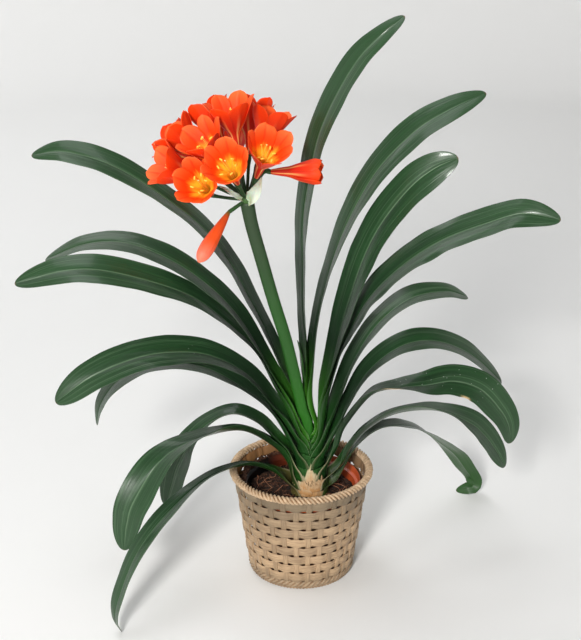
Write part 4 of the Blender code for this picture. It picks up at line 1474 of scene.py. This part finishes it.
    def root_patches(self) -> list[Patch]:
        """Builds the roots and strands: thin tubes that wander over the soil.

        Returns:
            One patch for each root.
        """
        draw = np.random.default_rng(41)
        shares = np.linspace(0, 1, 22)
        patches = []
        for _ in range(self.roots):
            bearing = draw.uniform(0, TURN)
            place = draw.uniform(0.030, 0.056) * np.array([math.cos(bearing), math.sin(bearing)])
            heading = draw.uniform(0, TURN)
            knots = []
            count = int(draw.integers(4, 7))
            arch = draw.uniform(0.5, 5.0) * MM
            for index in range(count):
                lift = arch * math.sin(math.pi * index / (count - 1))
                knots.append((*place, self.ground(place[0], place[1]) + 0.0006 + lift))
                heading += draw.normal(0, 0.5)
                ahead = place + draw.uniform(0.004, 0.009) * np.array([math.cos(heading), math.sin(heading)])
                if np.hypot(*ahead) > self.strewn[1] or np.hypot(*(ahead - NEST_AXIS)) < self.trunk_room[1]:
                    heading += math.pi * 0.7
                else:
                    place = ahead
            path, _, _ = spline_through(np.array(knots) + draw.normal(0, 1e-5, (count, 3)), shares)
            radii = draw.uniform(0.25, 0.55) * MM * (1 - 0.5 * shares)
            patches.append(tube(path, radii, 6, {"tone": draw.uniform(-0.6, 1.0)}, side_hint=(0.1, 0.2, 1)))
        return patches

    def build(self, plastic: Material, earth: Material, bark: Material, root: Material) -> None:
        """Builds the pot and what fills it.

        Args:
            plastic: The pot's material.
            earth: The soil's material.
            bark: The chips' material.
            root: The roots' material.
        """
        make_piece("pot_shell", [self.pot()], plastic, ["nursery_pot"], sharp=40)
        make_piece("soil_bed", [self.soil()], earth, ["soil"])
        make_piece("bark_chips", self.chip_patches(), bark, ["soil"], sharp=35)
        make_piece("surface_roots", self.root_patches(), root, ["soil"])


@dataclass
class Trunk:
    """The short trunk: a fibrous core with the torn feet of old leaves round it.

    Attributes:
        profile: Radius and height down its side.
        husks: Number of torn husk strips.
        front_husks: How many of them lie near the front.
        dry_foot: Height where the dry part starts.
        dry_height: How high it reaches at the front.
    """

    profile: tuple[tuple[float, float], ...] = (
        (0.0004, 0.1705), (0.0080, 0.1705), (0.0088, 0.1685), (0.0150, 0.1405), (0.0184, 0.1368),
        (0.0186, 0.1325), (0.0194, 0.1300), (0.0196, 0.1185), (0.0202, 0.1150), (0.0203, 0.0935),
        (0.0004, 0.0932))
    husks: int = 9
    front_husks: int = 6
    dry_foot: float = 0.093
    dry_height: float = 0.047

    def core(self) -> Patch:
        """Builds the core: the turned profile with upright ridges, dry below a V of green at the front.

        Returns:
            Its closed skin.
        """
        section = np.array(self.profile)
        shares = run_of(section)
        at = np.linspace(0, shares[-1], 90)
        radius = np.maximum(np.interp(at, shares, section[:, 0]), 0.0003)[:, None]
        height = np.interp(at, shares, section[:, 1])[:, None]
        angle = bearings(96)
        place = polar(0.02, angle, height * 0.35)
        ridges = 0.00035 * waves(place, 0.006, 51) + 0.00035 * waves(place * [1, 1, 4], 0.012, 52)
        reach = radius + (ridges - 0.0005) * np.where(radius > 0.012, 1.0, 0.2) * (radius > 0.002)
        aside = np.abs(np.mod(angle + 0.5 * np.pi - 0.06 + np.pi, TURN) - np.pi)
        slant = 0.50 * np.minimum(aside, 1.1) + 0.05 * np.sin(9 * angle) + 0.04 * np.sin(23 * angle + 1.0)
        along = (height - self.dry_foot) / self.dry_height + slant
        return Patch(polar(reach, angle, height, NEST_AXIS), grid(angle / TURN, height),
                     {"along": along, "seed": 0.0}, turn=1.0)

    def husk_patches(self) -> list[Patch]:
        """Builds the husks: thin strips round part of the trunk whose tops are torn and lean out.

        Returns:
            One patch for each husk.
        """
        draw = np.random.default_rng(61)
        side = self.profile[-2:0:-1]
        rows = np.linspace(0, 1, 14)[:, None]
        columns = np.linspace(-1, 1, 19)[None, :]
        patches = []
        for index in range(self.husks):
            if index < self.front_husks:
                centre = -math.pi / 2 + draw.uniform(-0.75, 0.75)
            else:
                centre = draw.uniform(0, TURN)
            spread = draw.uniform(0.25, 0.5)
            low = draw.uniform(0.1035, 0.1130)
            tall = draw.uniform(0.008, 0.020)
            torn = 0.75 + 0.25 * waves(grid(columns * 3, columns), 1.1, 62 + index)
            shape = torn * (1 - 0.55 * np.abs(columns) ** 2.5)
            height = low + tall * rows * shape
            base = np.interp(height, [z for _, z in side], [radius for radius, _ in side])
            reach = base + 0.0002 + 0.0013 * rows ** 2 * draw.uniform(0.4, 1.4) * shape
            surface = polar(reach, centre + spread * columns, height, NEST_AXIS)
            patches.append(blade(surface, 0.00030, columns / 2 + 0.5, rows * tall,
                                 {"along": 0.25 + 0.5 * rows, "seed": float(index)}))
        return patches

    def build(self, husk: Material) -> None:
        """Builds the trunk.

        Args:
            husk: The dry, papery material.
        """
        make_piece("trunk_core", [self.core()], husk, ["trunk"])
        make_piece("trunk_husks", self.husk_patches(), husk, ["trunk"])


# Umbel

SCAPE_TOP = np.array([-0.0596, -0.0220, 0.4635])
FLOWER_LENGTH = 0.060


@dataclass(frozen=True)
class Bloom:
    """One flower.

    Attributes:
        name: The frame's node that it stands for.
        stalk: Where its foot lies from the scape's top, in millimetres.
        aim: The way it faces.
        spin: Its turn about its own axis, in degrees.
        open: How wide it is open, 1 for a wide one.
        stamens: Whether its stamens show.
        share: Its length over the others'.
        cup: How far its lips lean in, in millimetres.
    """

    name: str
    stalk: Triple
    aim: Triple
    spin: float
    open: float = 1.0
    stamens: bool = True
    share: float = 1.0
    cup: float = 0.0

    def turn(self) -> Array:
        """Returns the rotation from +Z to the flower's aim."""
        return np.array(Vector((0, 0, 1)).rotation_difference(Vector(self.aim)).to_matrix())

    def foot(self) -> Array:
        """Returns where the flower leaves its pedicel."""
        return SCAPE_TOP + np.array(self.stalk) * MM + unit(np.array(self.aim)) * 0.0006


BLOOMS = (
    Bloom("bloom_1", (-8, -34, 27), (-0.19, -0.77, 0.62), 84),
    Bloom("bloom_2", (-37, -11, 9), (-0.23, -0.85, 0.48), 38),
    Bloom("bloom_3", (-20, -16, 34), (-0.48, -0.38, 0.79), 11),
    Bloom("bloom_4", (-41, -12, 21), (-0.86, -0.26, 0.44), 85),
    Bloom("bloom_5", (-38, 3, 36), (-0.72, 0.06, 0.69), 100),
    Bloom("bloom_6", (-21, 19, 44), (-0.41, 0.36, 0.84), 66),
    Bloom("bloom_7", (-8, -6, 52), (-0.16, -0.12, 0.98), 63),
    Bloom("bloom_8", (2, 25, 42), (0.04, 0.51, 0.86), 79),
    Bloom("bloom_9", (12, 7, 38), (0.29, 0.16, 0.94), 108),
    Bloom("bloom_10", (11, -24, 31), (0.26, -0.60, 0.76), 106),
    Bloom("bloom_11", (-43, 25, 27), (-0.77, 0.44, 0.47), 50),
    Bloom("bloom_12", (-11, 46, 23), (-0.21, 0.87, 0.44), 90),
    Bloom("bloom_13", (26, -17, 35), (0.99, -0.15, 0.05), 30, 0.42, stamens=False, share=0.90, cup=3.0),
)
BUD_FOOT = SCAPE_TOP + np.array([-18.5, -11, -10]) * MM
BUD_AIM = unit(np.array([-0.47, -0.59, -0.655]))
BUD_LENGTH = 0.066
PEDICEL_RADIUS = 0.0019
OVARY_LENGTH = 0.0080


@dataclass
class Umbel:
    """The scape with its flowers, their stamens, the closed bud and the bracts.

    Attributes:
        petals: Petals of a flower, every second one in the outer whorl.
        petal_rows: Rows of points along a petal.
        petal_columns: Columns across it.
        petal_thickness: Thickness of a petal along its middle.
        frill: Height of the waves on a petal's margins.
        crease: Depth of the fold along its middle.
        filament_radius: Radius of a stamen's filament.
        route: The scape's line from its foot, in millimetres.
        bracts: Each bract's line in millimetres and its width in millimetres, by its node's name.
    """

    petals: int = 6
    petal_rows: int = 30
    petal_columns: int = 13
    petal_thickness: float = 0.00050
    frill: float = 0.0011
    crease: float = 0.0009
    filament_radius: float = 0.00042
    route: tuple[Triple, ...] = (
        (8.6, -9.0, 169), (8, -9.6, 183), (5.6, -10.8, 197), (0.5, -13, 212), (-6.8, -16.5, 249),
        (-18, -18.5, 299), (-31.7, -19.6, 347), (-44.2, -20.5, 394), (-54.6, -21.4, 434), (-59.5, -22, 461))
    bracts: tuple[tuple[str, tuple[Triple, ...], float], ...] = (
        ("bract_right", ((-57.0, -31, 464), (-51.5, -39, 473), (-47, -43, 483), (-43, -46, 494)), 15),
        ("bract_left", ((-65, -28, 465), (-73, -37, 473), (-80, -40, 479), (-88, -42, 484)), 7))

    def petal(self, bloom: Bloom, index: int, draw: np.random.Generator) -> Patch:
        """Builds one petal in the flower's own frame, whose axis is +Z.

        Its midline is a curve of (radius, height) that starts as the tube and leans out to the lip. Its
        section is an arc of radius c: x = p − c + c cos(ws/c), y = c sin(ws/c). In the tube c = p, and c
        grows to the lip.

        Args:
            bloom: The flower.
            index: The petal's number.
            draw: Source of its small differences.

        Returns:
            The petal's closed skin.
        """
        outer = index % 2
        wide = bloom.open
        t = np.linspace(0, 1, self.petal_rows)[:, None] ** 0.92
        lean = draw.normal(0, 0.0012) * wide
        knots = [0, 0.18, 0.36, 0.54, 0.70, 0.84, 0.94, 1.0]
        reach = eased(t, knots, [0.0024, 0.0042, 0.0056, 0.0062 + 0.0052 * wide, 0.0066 + 0.0096 * wide,
                                 0.0068 + 0.0140 * wide, 0.0068 + 0.0172 * wide, 0.0064 + 0.0192 * wide])
        level = bloom.share * FLOWER_LENGTH * eased(t, knots, [0, 0.18, 0.36, 0.55, 0.72, 0.87, 0.965, 1.0])
        reach = reach - bloom.cup * MM * step(0.78, 1.0, t)
        reach = reach + lean * t ** 2 + (0.0006 if outer else -0.0004) * step(0.25, 0.5, t)
        girth = (0.0070 + 0.0048 * wide) * (0.90 if outer else 1.08) * draw.uniform(0.96, 1.06)
        half = eased(t, [0, 0.30, 0.50, 0.70, 0.82, 0.91, 0.97, 1.0],
                     [0.0015, 0.0036, 0.62 * girth, 0.93 * girth, girth, 0.80 * girth, 0.42 * girth, 0.0006])
        curl = reach * (1 + (0.6 if outer else 0.9) * step(0.40, 0.85, t))
        s = np.linspace(-1, 1, self.petal_columns)[None, :]
        bend = half * s / curl
        y = curl * np.sin(bend)
        phase = draw.uniform(0, TURN, 2)
        frill = self.frill * s ** 2 * np.sin(8 * t + phase[0] + 1.4 * np.sign(s)) * step(0.45, 0.8, t)
        crease = self.crease * np.exp(-(s / 0.20) ** 2) * (step(0.35, 0.6, t) * (1 - step(0.93, 1.0, t)))
        twist = draw.normal(0, 0.05) * step(0.4, 1.0, t) * y
        x = reach - curl + curl * np.cos(bend) + frill + crease + twist
        angle = TURN * index / self.petals + math.radians(bloom.spin)
        cosine, sine = math.cos(angle), math.sin(angle)
        local = grid(x * cosine - y * sine, x * sine + y * cosine, level + 0.5 * frill)
        marks = {"seed": draw.uniform(0, 50), "tone": draw.uniform(-1, 1)}
        thickness = self.petal_thickness * (1 - 0.45 * s ** 2)
        return blade(local @ bloom.turn().T + bloom.foot(), thickness, s / 2 + 0.5, t, marks)

    def stamen_patches(self, bloom: Bloom, draw: np.random.Generator) -> list[Patch]:
        """Builds six filaments with their anthers, and the style.

        Args:
            bloom: The flower.
            draw: Source of their small differences.

        Returns:
            The patches. The mark along runs from 0 to 0.9 on a filament, and is 2 on an anther and 1.3 on the
            style's tip.
        """
        patches = []
        turn, foot = bloom.turn(), bloom.foot()
        along = np.linspace(0, 1, 14)
        across = np.linspace(-1, 1, 8)
        for index in range(7):
            style = index == 6
            angle = TURN * (index + 0.5) / 6 + math.radians(bloom.spin) + draw.normal(0, 0.15)
            spread = (0.0045 + 0.0055 * bloom.open) * draw.uniform(0.75, 1.15) * (0.5 if style else 1)
            tall = draw.uniform(0.042, 0.047) + (0.006 if style else 0)
            heights = np.array([0.004, 0.018, 0.031, tall])
            radii = np.array([0.0012, 0.0021, 0.0034, spread]) * (0.6 if style else 1)
            path, _, _ = spline_through(polar(radii, angle, heights), along)
            path = path @ turn.T + foot
            thin = self.filament_radius * (1 - 0.35 * along)
            marks = {"along": along * 0.9, "seed": 0.0}
            patches.append(tube(path, thin, 6, marks, side_hint=(0.3, 0.9, 0.2)))
            end = path[-1] - path[-2]
            lie = unit(np.cross(end, draw.normal(size=3))) + 0.5 * unit(end)
            line = path[-1] + across[:, None] * (unit(lie) * (0.0011 if style else 0.0022))
            body = (0.00055 if style else 0.00100) * np.sqrt(np.maximum(1 - across ** 4, 0.08))
            marks = {"along": 1.3 if style else 2.0, "seed": 0.0}
            patches.append(tube(line, body, 7, marks, side_hint=(0.3, 0.9, 0.2)))
        return patches

    def pedicel_patches(self) -> list[Patch]:
        """Builds each flower's stalk, which bends a little and swells to the ovary below the flower.

        Returns:
            One patch for each stalk, and the knob that they leave.
        """
        patches = []
        t = np.linspace(0, 1, 30)
        for seed, bloom in enumerate(BLOOMS):
            end = bloom.foot()
            knee = end - unit(np.array(bloom.aim)) * OVARY_LENGTH
            bow = (SCAPE_TOP + knee) / 2 + [0, 0, -0.0008]
            path, _, length = spline_through(np.array([SCAPE_TOP, bow, knee, end]), t)
            ovary = 0.0010 * np.exp(-((t - 1) * length / 0.0055 + 0.75) ** 2)
            radii = PEDICEL_RADIUS * (1.05 - 0.12 * np.sin(np.pi * t)) + ovary
            hint = (0.2, 0.5, 0.3) if abs(end[2] - SCAPE_TOP[2]) > 0.04 else (0.3, 0.1, 1)
            patches.append(tube(path, radii, 10, {"along": t, "seed": float(seed)}, side_hint=hint))
        line = SCAPE_TOP + (BUD_FOOT + BUD_AIM * 0.0012 - SCAPE_TOP) * t[:, None]
        marks = {"along": t, "seed": 0.0}
        patches.append(tube(line, PEDICEL_RADIUS + 0.0004 * t, 10, marks, side_hint=(0, 0, 1)))
        arc = np.linspace(0.02, np.pi - 0.02, 14)
        section = [(0.0062 * math.sin(angle), 0.0054 * math.cos(angle)) for angle in arc]
        knob = turned(section, 20, {"along": 0.0, "seed": 0.0})
        knob.points = knob.points + SCAPE_TOP
        return patches + [knob]

    def scape(self) -> Patch:
        """Builds the flattened stalk: an oval along a curve, about 4 mm deep for each 7 mm of width.

        Returns:
            Its closed skin.
        """
        path, _, _ = spline_through(np.array(self.route) * MM, np.linspace(0, 1, 70))
        radii = np.interp(path[:, 2], [0.17, 0.25, 0.44, 0.46], [0.0056, 0.0068, 0.0073, 0.0078])
        return tube(path, radii, 20, {"along": (path[:, 2] - 0.19) / 0.27, "seed": 0.0}, squash=0.58)

    def bud(self) -> Patch:
        """Builds the closed bud: a tube that swells and shuts, with a groove along each petal's edge.

        Returns:
            Its closed skin.
        """
        t = np.linspace(0, 1, 40)
        sides = 48
        radii = eased(t, [0, 0.17, 0.34, 0.52, 0.70, 0.84, 0.94, 1.0],
                      [0.0020, 0.0041, 0.0057, 0.0072, 0.0083, 0.0076, 0.0050, 0.0012])
        path = BUD_FOOT + BUD_AIM * 0.0010 + BUD_AIM * (BUD_LENGTH * t)[:, None]
        groove = np.exp(-((np.mod(bearings(sides) * 3 / np.pi + 0.5, 1) - 0.5) / 0.13) ** 2)
        patch = tube(path, radii, sides, {"along": t}, side_hint=(0, 0, 1))
        depth = 0.00055 * groove[None, :] * step(0.25, 0.8, t)[:, None]
        patch.points = patch.points - unit(patch.points - path[:, None]) * depth[..., None]
        patch.marks["seed"] = groove
        return patch

    def bract(self, line: tuple[Triple, ...], width: float, seed: int) -> Patch:
        """Builds a bract: a short cupped papery blade that tapers to a thread.

        Args:
            line: Points of its midline, in millimetres.
            width: Its full width, in millimetres.
            seed: Which crumples it gets.

        Returns:
            Its closed skin.
        """
        t = np.linspace(0, 1, 26)
        middle, tangent, length = spline_through(np.array(line) * MM, t)
        across = unit(np.cross(tangent, np.array([0.15, -0.75, 0.65])))
        normal = np.cross(across, tangent)
        taper = eased(t, [0, 0.25, 0.5, 0.75, 1.0], [0.75, 1.0, 0.85, 0.5, 0.08])
        half = (width * MM / 2 * taper)[:, None, None]
        s = np.linspace(-1, 1, 13)[None, :, None]
        crumple = 0.0006 * waves(grid(t[:, None] * 3, s[..., 0]), 1.0, 71 + seed)
        surface = (middle[:, None] + half * s * across[:, None]
                   + (0.45 * half * s ** 2 + crumple[..., None]) * normal[:, None])
        return blade(surface, 0.00032, s[..., 0] / 2 + 0.5, t[:, None] * length,
                     {"along": t[:, None], "seed": float(seed)})

    def build(self, petal: Material, pollen: Material, stalk: Material, pedicel: Material, bud: Material,
              paper: Material) -> None:
        """Builds the umbel.

        Args:
            petal: The petals' material.
            pollen: The stamens' material.
            stalk: The scape's material.
            pedicel: The pedicels' material.
            bud: The bud's material.
            paper: The bracts' material.
        """
        for seed, bloom in enumerate(BLOOMS):
            draw = np.random.default_rng(200 + seed)
            petals = [self.petal(bloom, index, draw) for index in range(self.petals)]
            make_piece(f"{bloom.name}_petals", petals, petal, [bloom.name])
            if bloom.stamens:
                make_piece(f"{bloom.name}_tuft", self.stamen_patches(bloom, draw), pollen,
                           [f"{bloom.name}_stamens"])
        make_piece("scape", [self.scape()], stalk, ["scape_and_pedicels"])
        make_piece("pedicels", self.pedicel_patches(), pedicel, ["scape_and_pedicels"])
        make_piece("hanging_bud", [self.bud()], bud, ["bud_closed"])
        for seed, (name, line, width) in enumerate(self.bracts):
            make_piece(f"{name}_blade", [self.bract(line, width, seed)], paper, [name])


# Studio

@dataclass(frozen=True)
class Studio:
    """A pale sweep, soft lights and the camera.

    Attributes:
        camera_place: Where the camera stands.
        camera_tilt: Its tilt from straight down, in degrees.
        lens: Focal length in millimetres, for a 36 mm sensor along the image's longer side.
        floor_radius: How far from the plant the sweep's arc starts to rise.
        arc_radius: Radius of that arc.
        wall_height: How high the sweep's wall stands.
        sides: Steps round the sweep.
    """

    camera_place: Triple = (-0.0127, -1.3969, 0.8623)
    camera_tilt: float = 68.63
    lens: float = 74.63
    floor_radius: float = 2.7
    arc_radius: float = 0.6
    wall_height: float = 3.6
    sides: int = 96

    def sweep(self) -> None:
        """Builds a round floor and wall as one surface: level to the arc, a quarter circle, then upright."""
        arc = np.linspace(0, np.pi / 2, 16)
        reach = np.concatenate([[0.01, 1.2], self.floor_radius + self.arc_radius * np.sin(arc),
                                [self.floor_radius + self.arc_radius]])[:, None]
        z = np.concatenate([[0.0, 0.0], self.arc_radius * (1 - np.cos(arc)), [self.wall_height]])[:, None]
        points = polar(reach, bearings(self.sides), z).reshape(-1, 3)
        near = np.arange(len(reach) - 1)[:, None] * self.sides
        far = near + self.sides
        column = np.arange(self.sides)
        beside = (column + 1) % self.sides
        faces = np.stack([near + column, far + column, far + beside, near + beside], -1).reshape(-1, 4)
        nodes = FinishNodes("studio_paper")
        blotch = nodes.noise(nodes.object_place(), 2.0)
        colour = nodes.blend(blotch, (0.87, 0.87, 0.865), (0.89, 0.89, 0.885))
        paper = nodes.settle({"Base Color": colour}, {"Roughness": 0.9, "Specular IOR Level": 0.1})
        sweep = add_mesh("studio_sweep", points, [*faces.tolist(), list(range(self.sides))], paper)

    @staticmethod
    def lamp(name: str, place: Triple, aim: Triple, size: tuple[float, float], power: float,
             colour: Triple) -> None:
        """Adds a soft rectangular light.

        Args:
            name: Its name.
            place: Where it stands.
            aim: Where it points.
            size: Its width and height.
            power: Its power in watts.
            colour: Its colour.
        """
        light = bpy.data.lights.new(name, "AREA")
        light.shape = "RECTANGLE"
        light.size, light.size_y = size
        light.energy = power
        light.color = colour
        lamp = bpy.data.objects.new(name, light)
        lamp.location = place
        lamp.rotation_euler = (Vector(aim) - Vector(place)).to_track_quat("-Z", "Y").to_euler()
        bpy.context.scene.collection.objects.link(lamp)

    def build(self) -> None:
        """Builds the studio and sets the camera."""
        scene = bpy.context.scene
        self.sweep()
        self.lamp("key_light", (-0.66, -2.60, 1.55), (0, 0, 0.22), (0.42, 0.42), 78, (1.0, 0.985, 0.96))
        self.lamp("top_light", (-0.5, 0.10, 2.3), (-0.2, 0.10, 0), (1.2, 0.9), 12, (0.97, 0.99, 1.0))
        self.lamp("far_light", (-1.2, 1.70, 2.3), (-0.8, 2.30, 0), (1.8, 1.2), 20, (0.99, 0.995, 1.0))
        world = bpy.data.worlds.new("studio_air")
        world.use_nodes = True
        air = world.node_tree.nodes["Background"].inputs
        air["Color"].default_value = (0.95, 0.97, 1.0, 1.0)
        air["Strength"].default_value = 0.08
        scene.world = world
        scene.view_settings.view_transform = "Standard"
        camera = bpy.data.cameras.new("studio_camera")
        camera.lens = self.lens
        camera.sensor_width = 36.0
        camera.sensor_fit = "AUTO"
        holder = bpy.data.objects.new("studio_camera", camera)
        holder.location = self.camera_place
        holder.rotation_euler = (math.radians(self.camera_tilt), 0, 0)
        scene.collection.objects.link(holder)
        scene.camera = holder


PLASTIC = MottledFinish(
    "moulded_plastic", (0.56, 0.085, 0.022), (0.62, 0.110, 0.030), (0.50, 0.070, 0.02), 30.0, 240.0,
    roughness=0.42, bump=0.08, bump_distance=0.0003, specular=0.5)
EARTH = MottledFinish(
    "dark_earth", (0.010, 0.006, 0.004), (0.045, 0.022, 0.012), (0.10, 0.04, 0.02), 160.0, 620.0)
BARK = MottledFinish(
    "bark_chip", (0.035, 0.014, 0.008), (0.105, 0.042, 0.022), (0.19, 0.10, 0.055), 230.0, 800.0, bump=0.8)
DRY_ROOT = MottledFinish(
    "dry_root", (0.20, 0.060, 0.030), (0.36, 0.17, 0.09), (0.55, 0.42, 0.28), 200.0, 700.0, roughness=0.7)
CORD = StrawFinish("laid_straw", light=(0.68, 0.50, 0.33), dark=(0.36, 0.24, 0.14), grain_lines=7.0,
                   grain_stretch=30.0, roughness=0.6)
HUSK = LengthFinish(
    "dry_husk", ((0.0, (0.50, 0.21, 0.055)), (0.35, (0.62, 0.33, 0.13)), (0.70, (0.70, 0.47, 0.26)),
                 (0.96, (0.62, 0.52, 0.32)), (1.04, (0.020, 0.085, 0.014))),
    lines=60.0, stretch=30.0, line_share=0.55, line_shade=0.45, roughness=0.75, bump=0.9)
STALK = LengthFinish(
    "scape_skin", ((0.0, (0.016, 0.120, 0.006)), (0.40, (0.016, 0.080, 0.010)),
                   (0.90, (0.024, 0.050, 0.020))), line_share=0.3, stretch=20.0)
PEDICEL = LengthFinish(
    "pedicel_skin", ((0.0, (0.050, 0.120, 0.030)), (0.3, (0.016, 0.050, 0.014)),
                     (0.95, (0.022, 0.075, 0.018))), stretch=40.0)
# The bud's last stop, pale salmon at its hanging tip, is partly its own paler colour and partly a painted
# highlight.
BUD_SKIN = LengthFinish(
    "bud_skin", ((0.0, (0.120, 0.090, 0.014)), (0.14, (0.58, 0.060, 0.006)), (0.55, (0.84, 0.085, 0.010)),
                 (0.98, (0.95, 0.200, 0.120))),
    lines=16.0, stretch=3.0, line_share=0.5, subsurface=0.1)
POLLEN = LengthFinish(
    "pollen", ((0.0, (0.95, 0.42, 0.02)), (0.8, (1.0, 0.62, 0.10)), (1.2, (1.0, 0.75, 0.30)),
               (1.9, (1.0, 0.66, 0.08))), roughness=0.6, bump=0.5)
BRACT = LengthFinish(
    "bract_skin", ((0.0, (0.50, 0.58, 0.38)), (0.4, (0.74, 0.79, 0.66)), (0.95, (0.60, 0.56, 0.44))),
    lines=26.0, stretch=30.0, roughness=0.6, subsurface=0.3)


def main() -> None:
    """Builds every piece of the plant and the studio."""
    logging.basicConfig(level=logging.INFO, format="%(name)s: %(message)s")
    shared = SharedGroups()
    LeafFan().build(LeafFinish().build(shared))
    WovenBasket().build(StrawFinish("flat_straw").build(shared), CORD.build(shared))
    PotAndSoil().build(*(finish.build(shared) for finish in (PLASTIC, EARTH, BARK, DRY_ROOT)))
    Trunk().build(HUSK.build(shared))
    umbel_finishes = (PetalFinish(), POLLEN, STALK, PEDICEL, BUD_SKIN, BRACT)
    Umbel().build(*(finish.build(shared) for finish in umbel_finishes))
    Studio().build()


if __name__ == "__main__":
    main()
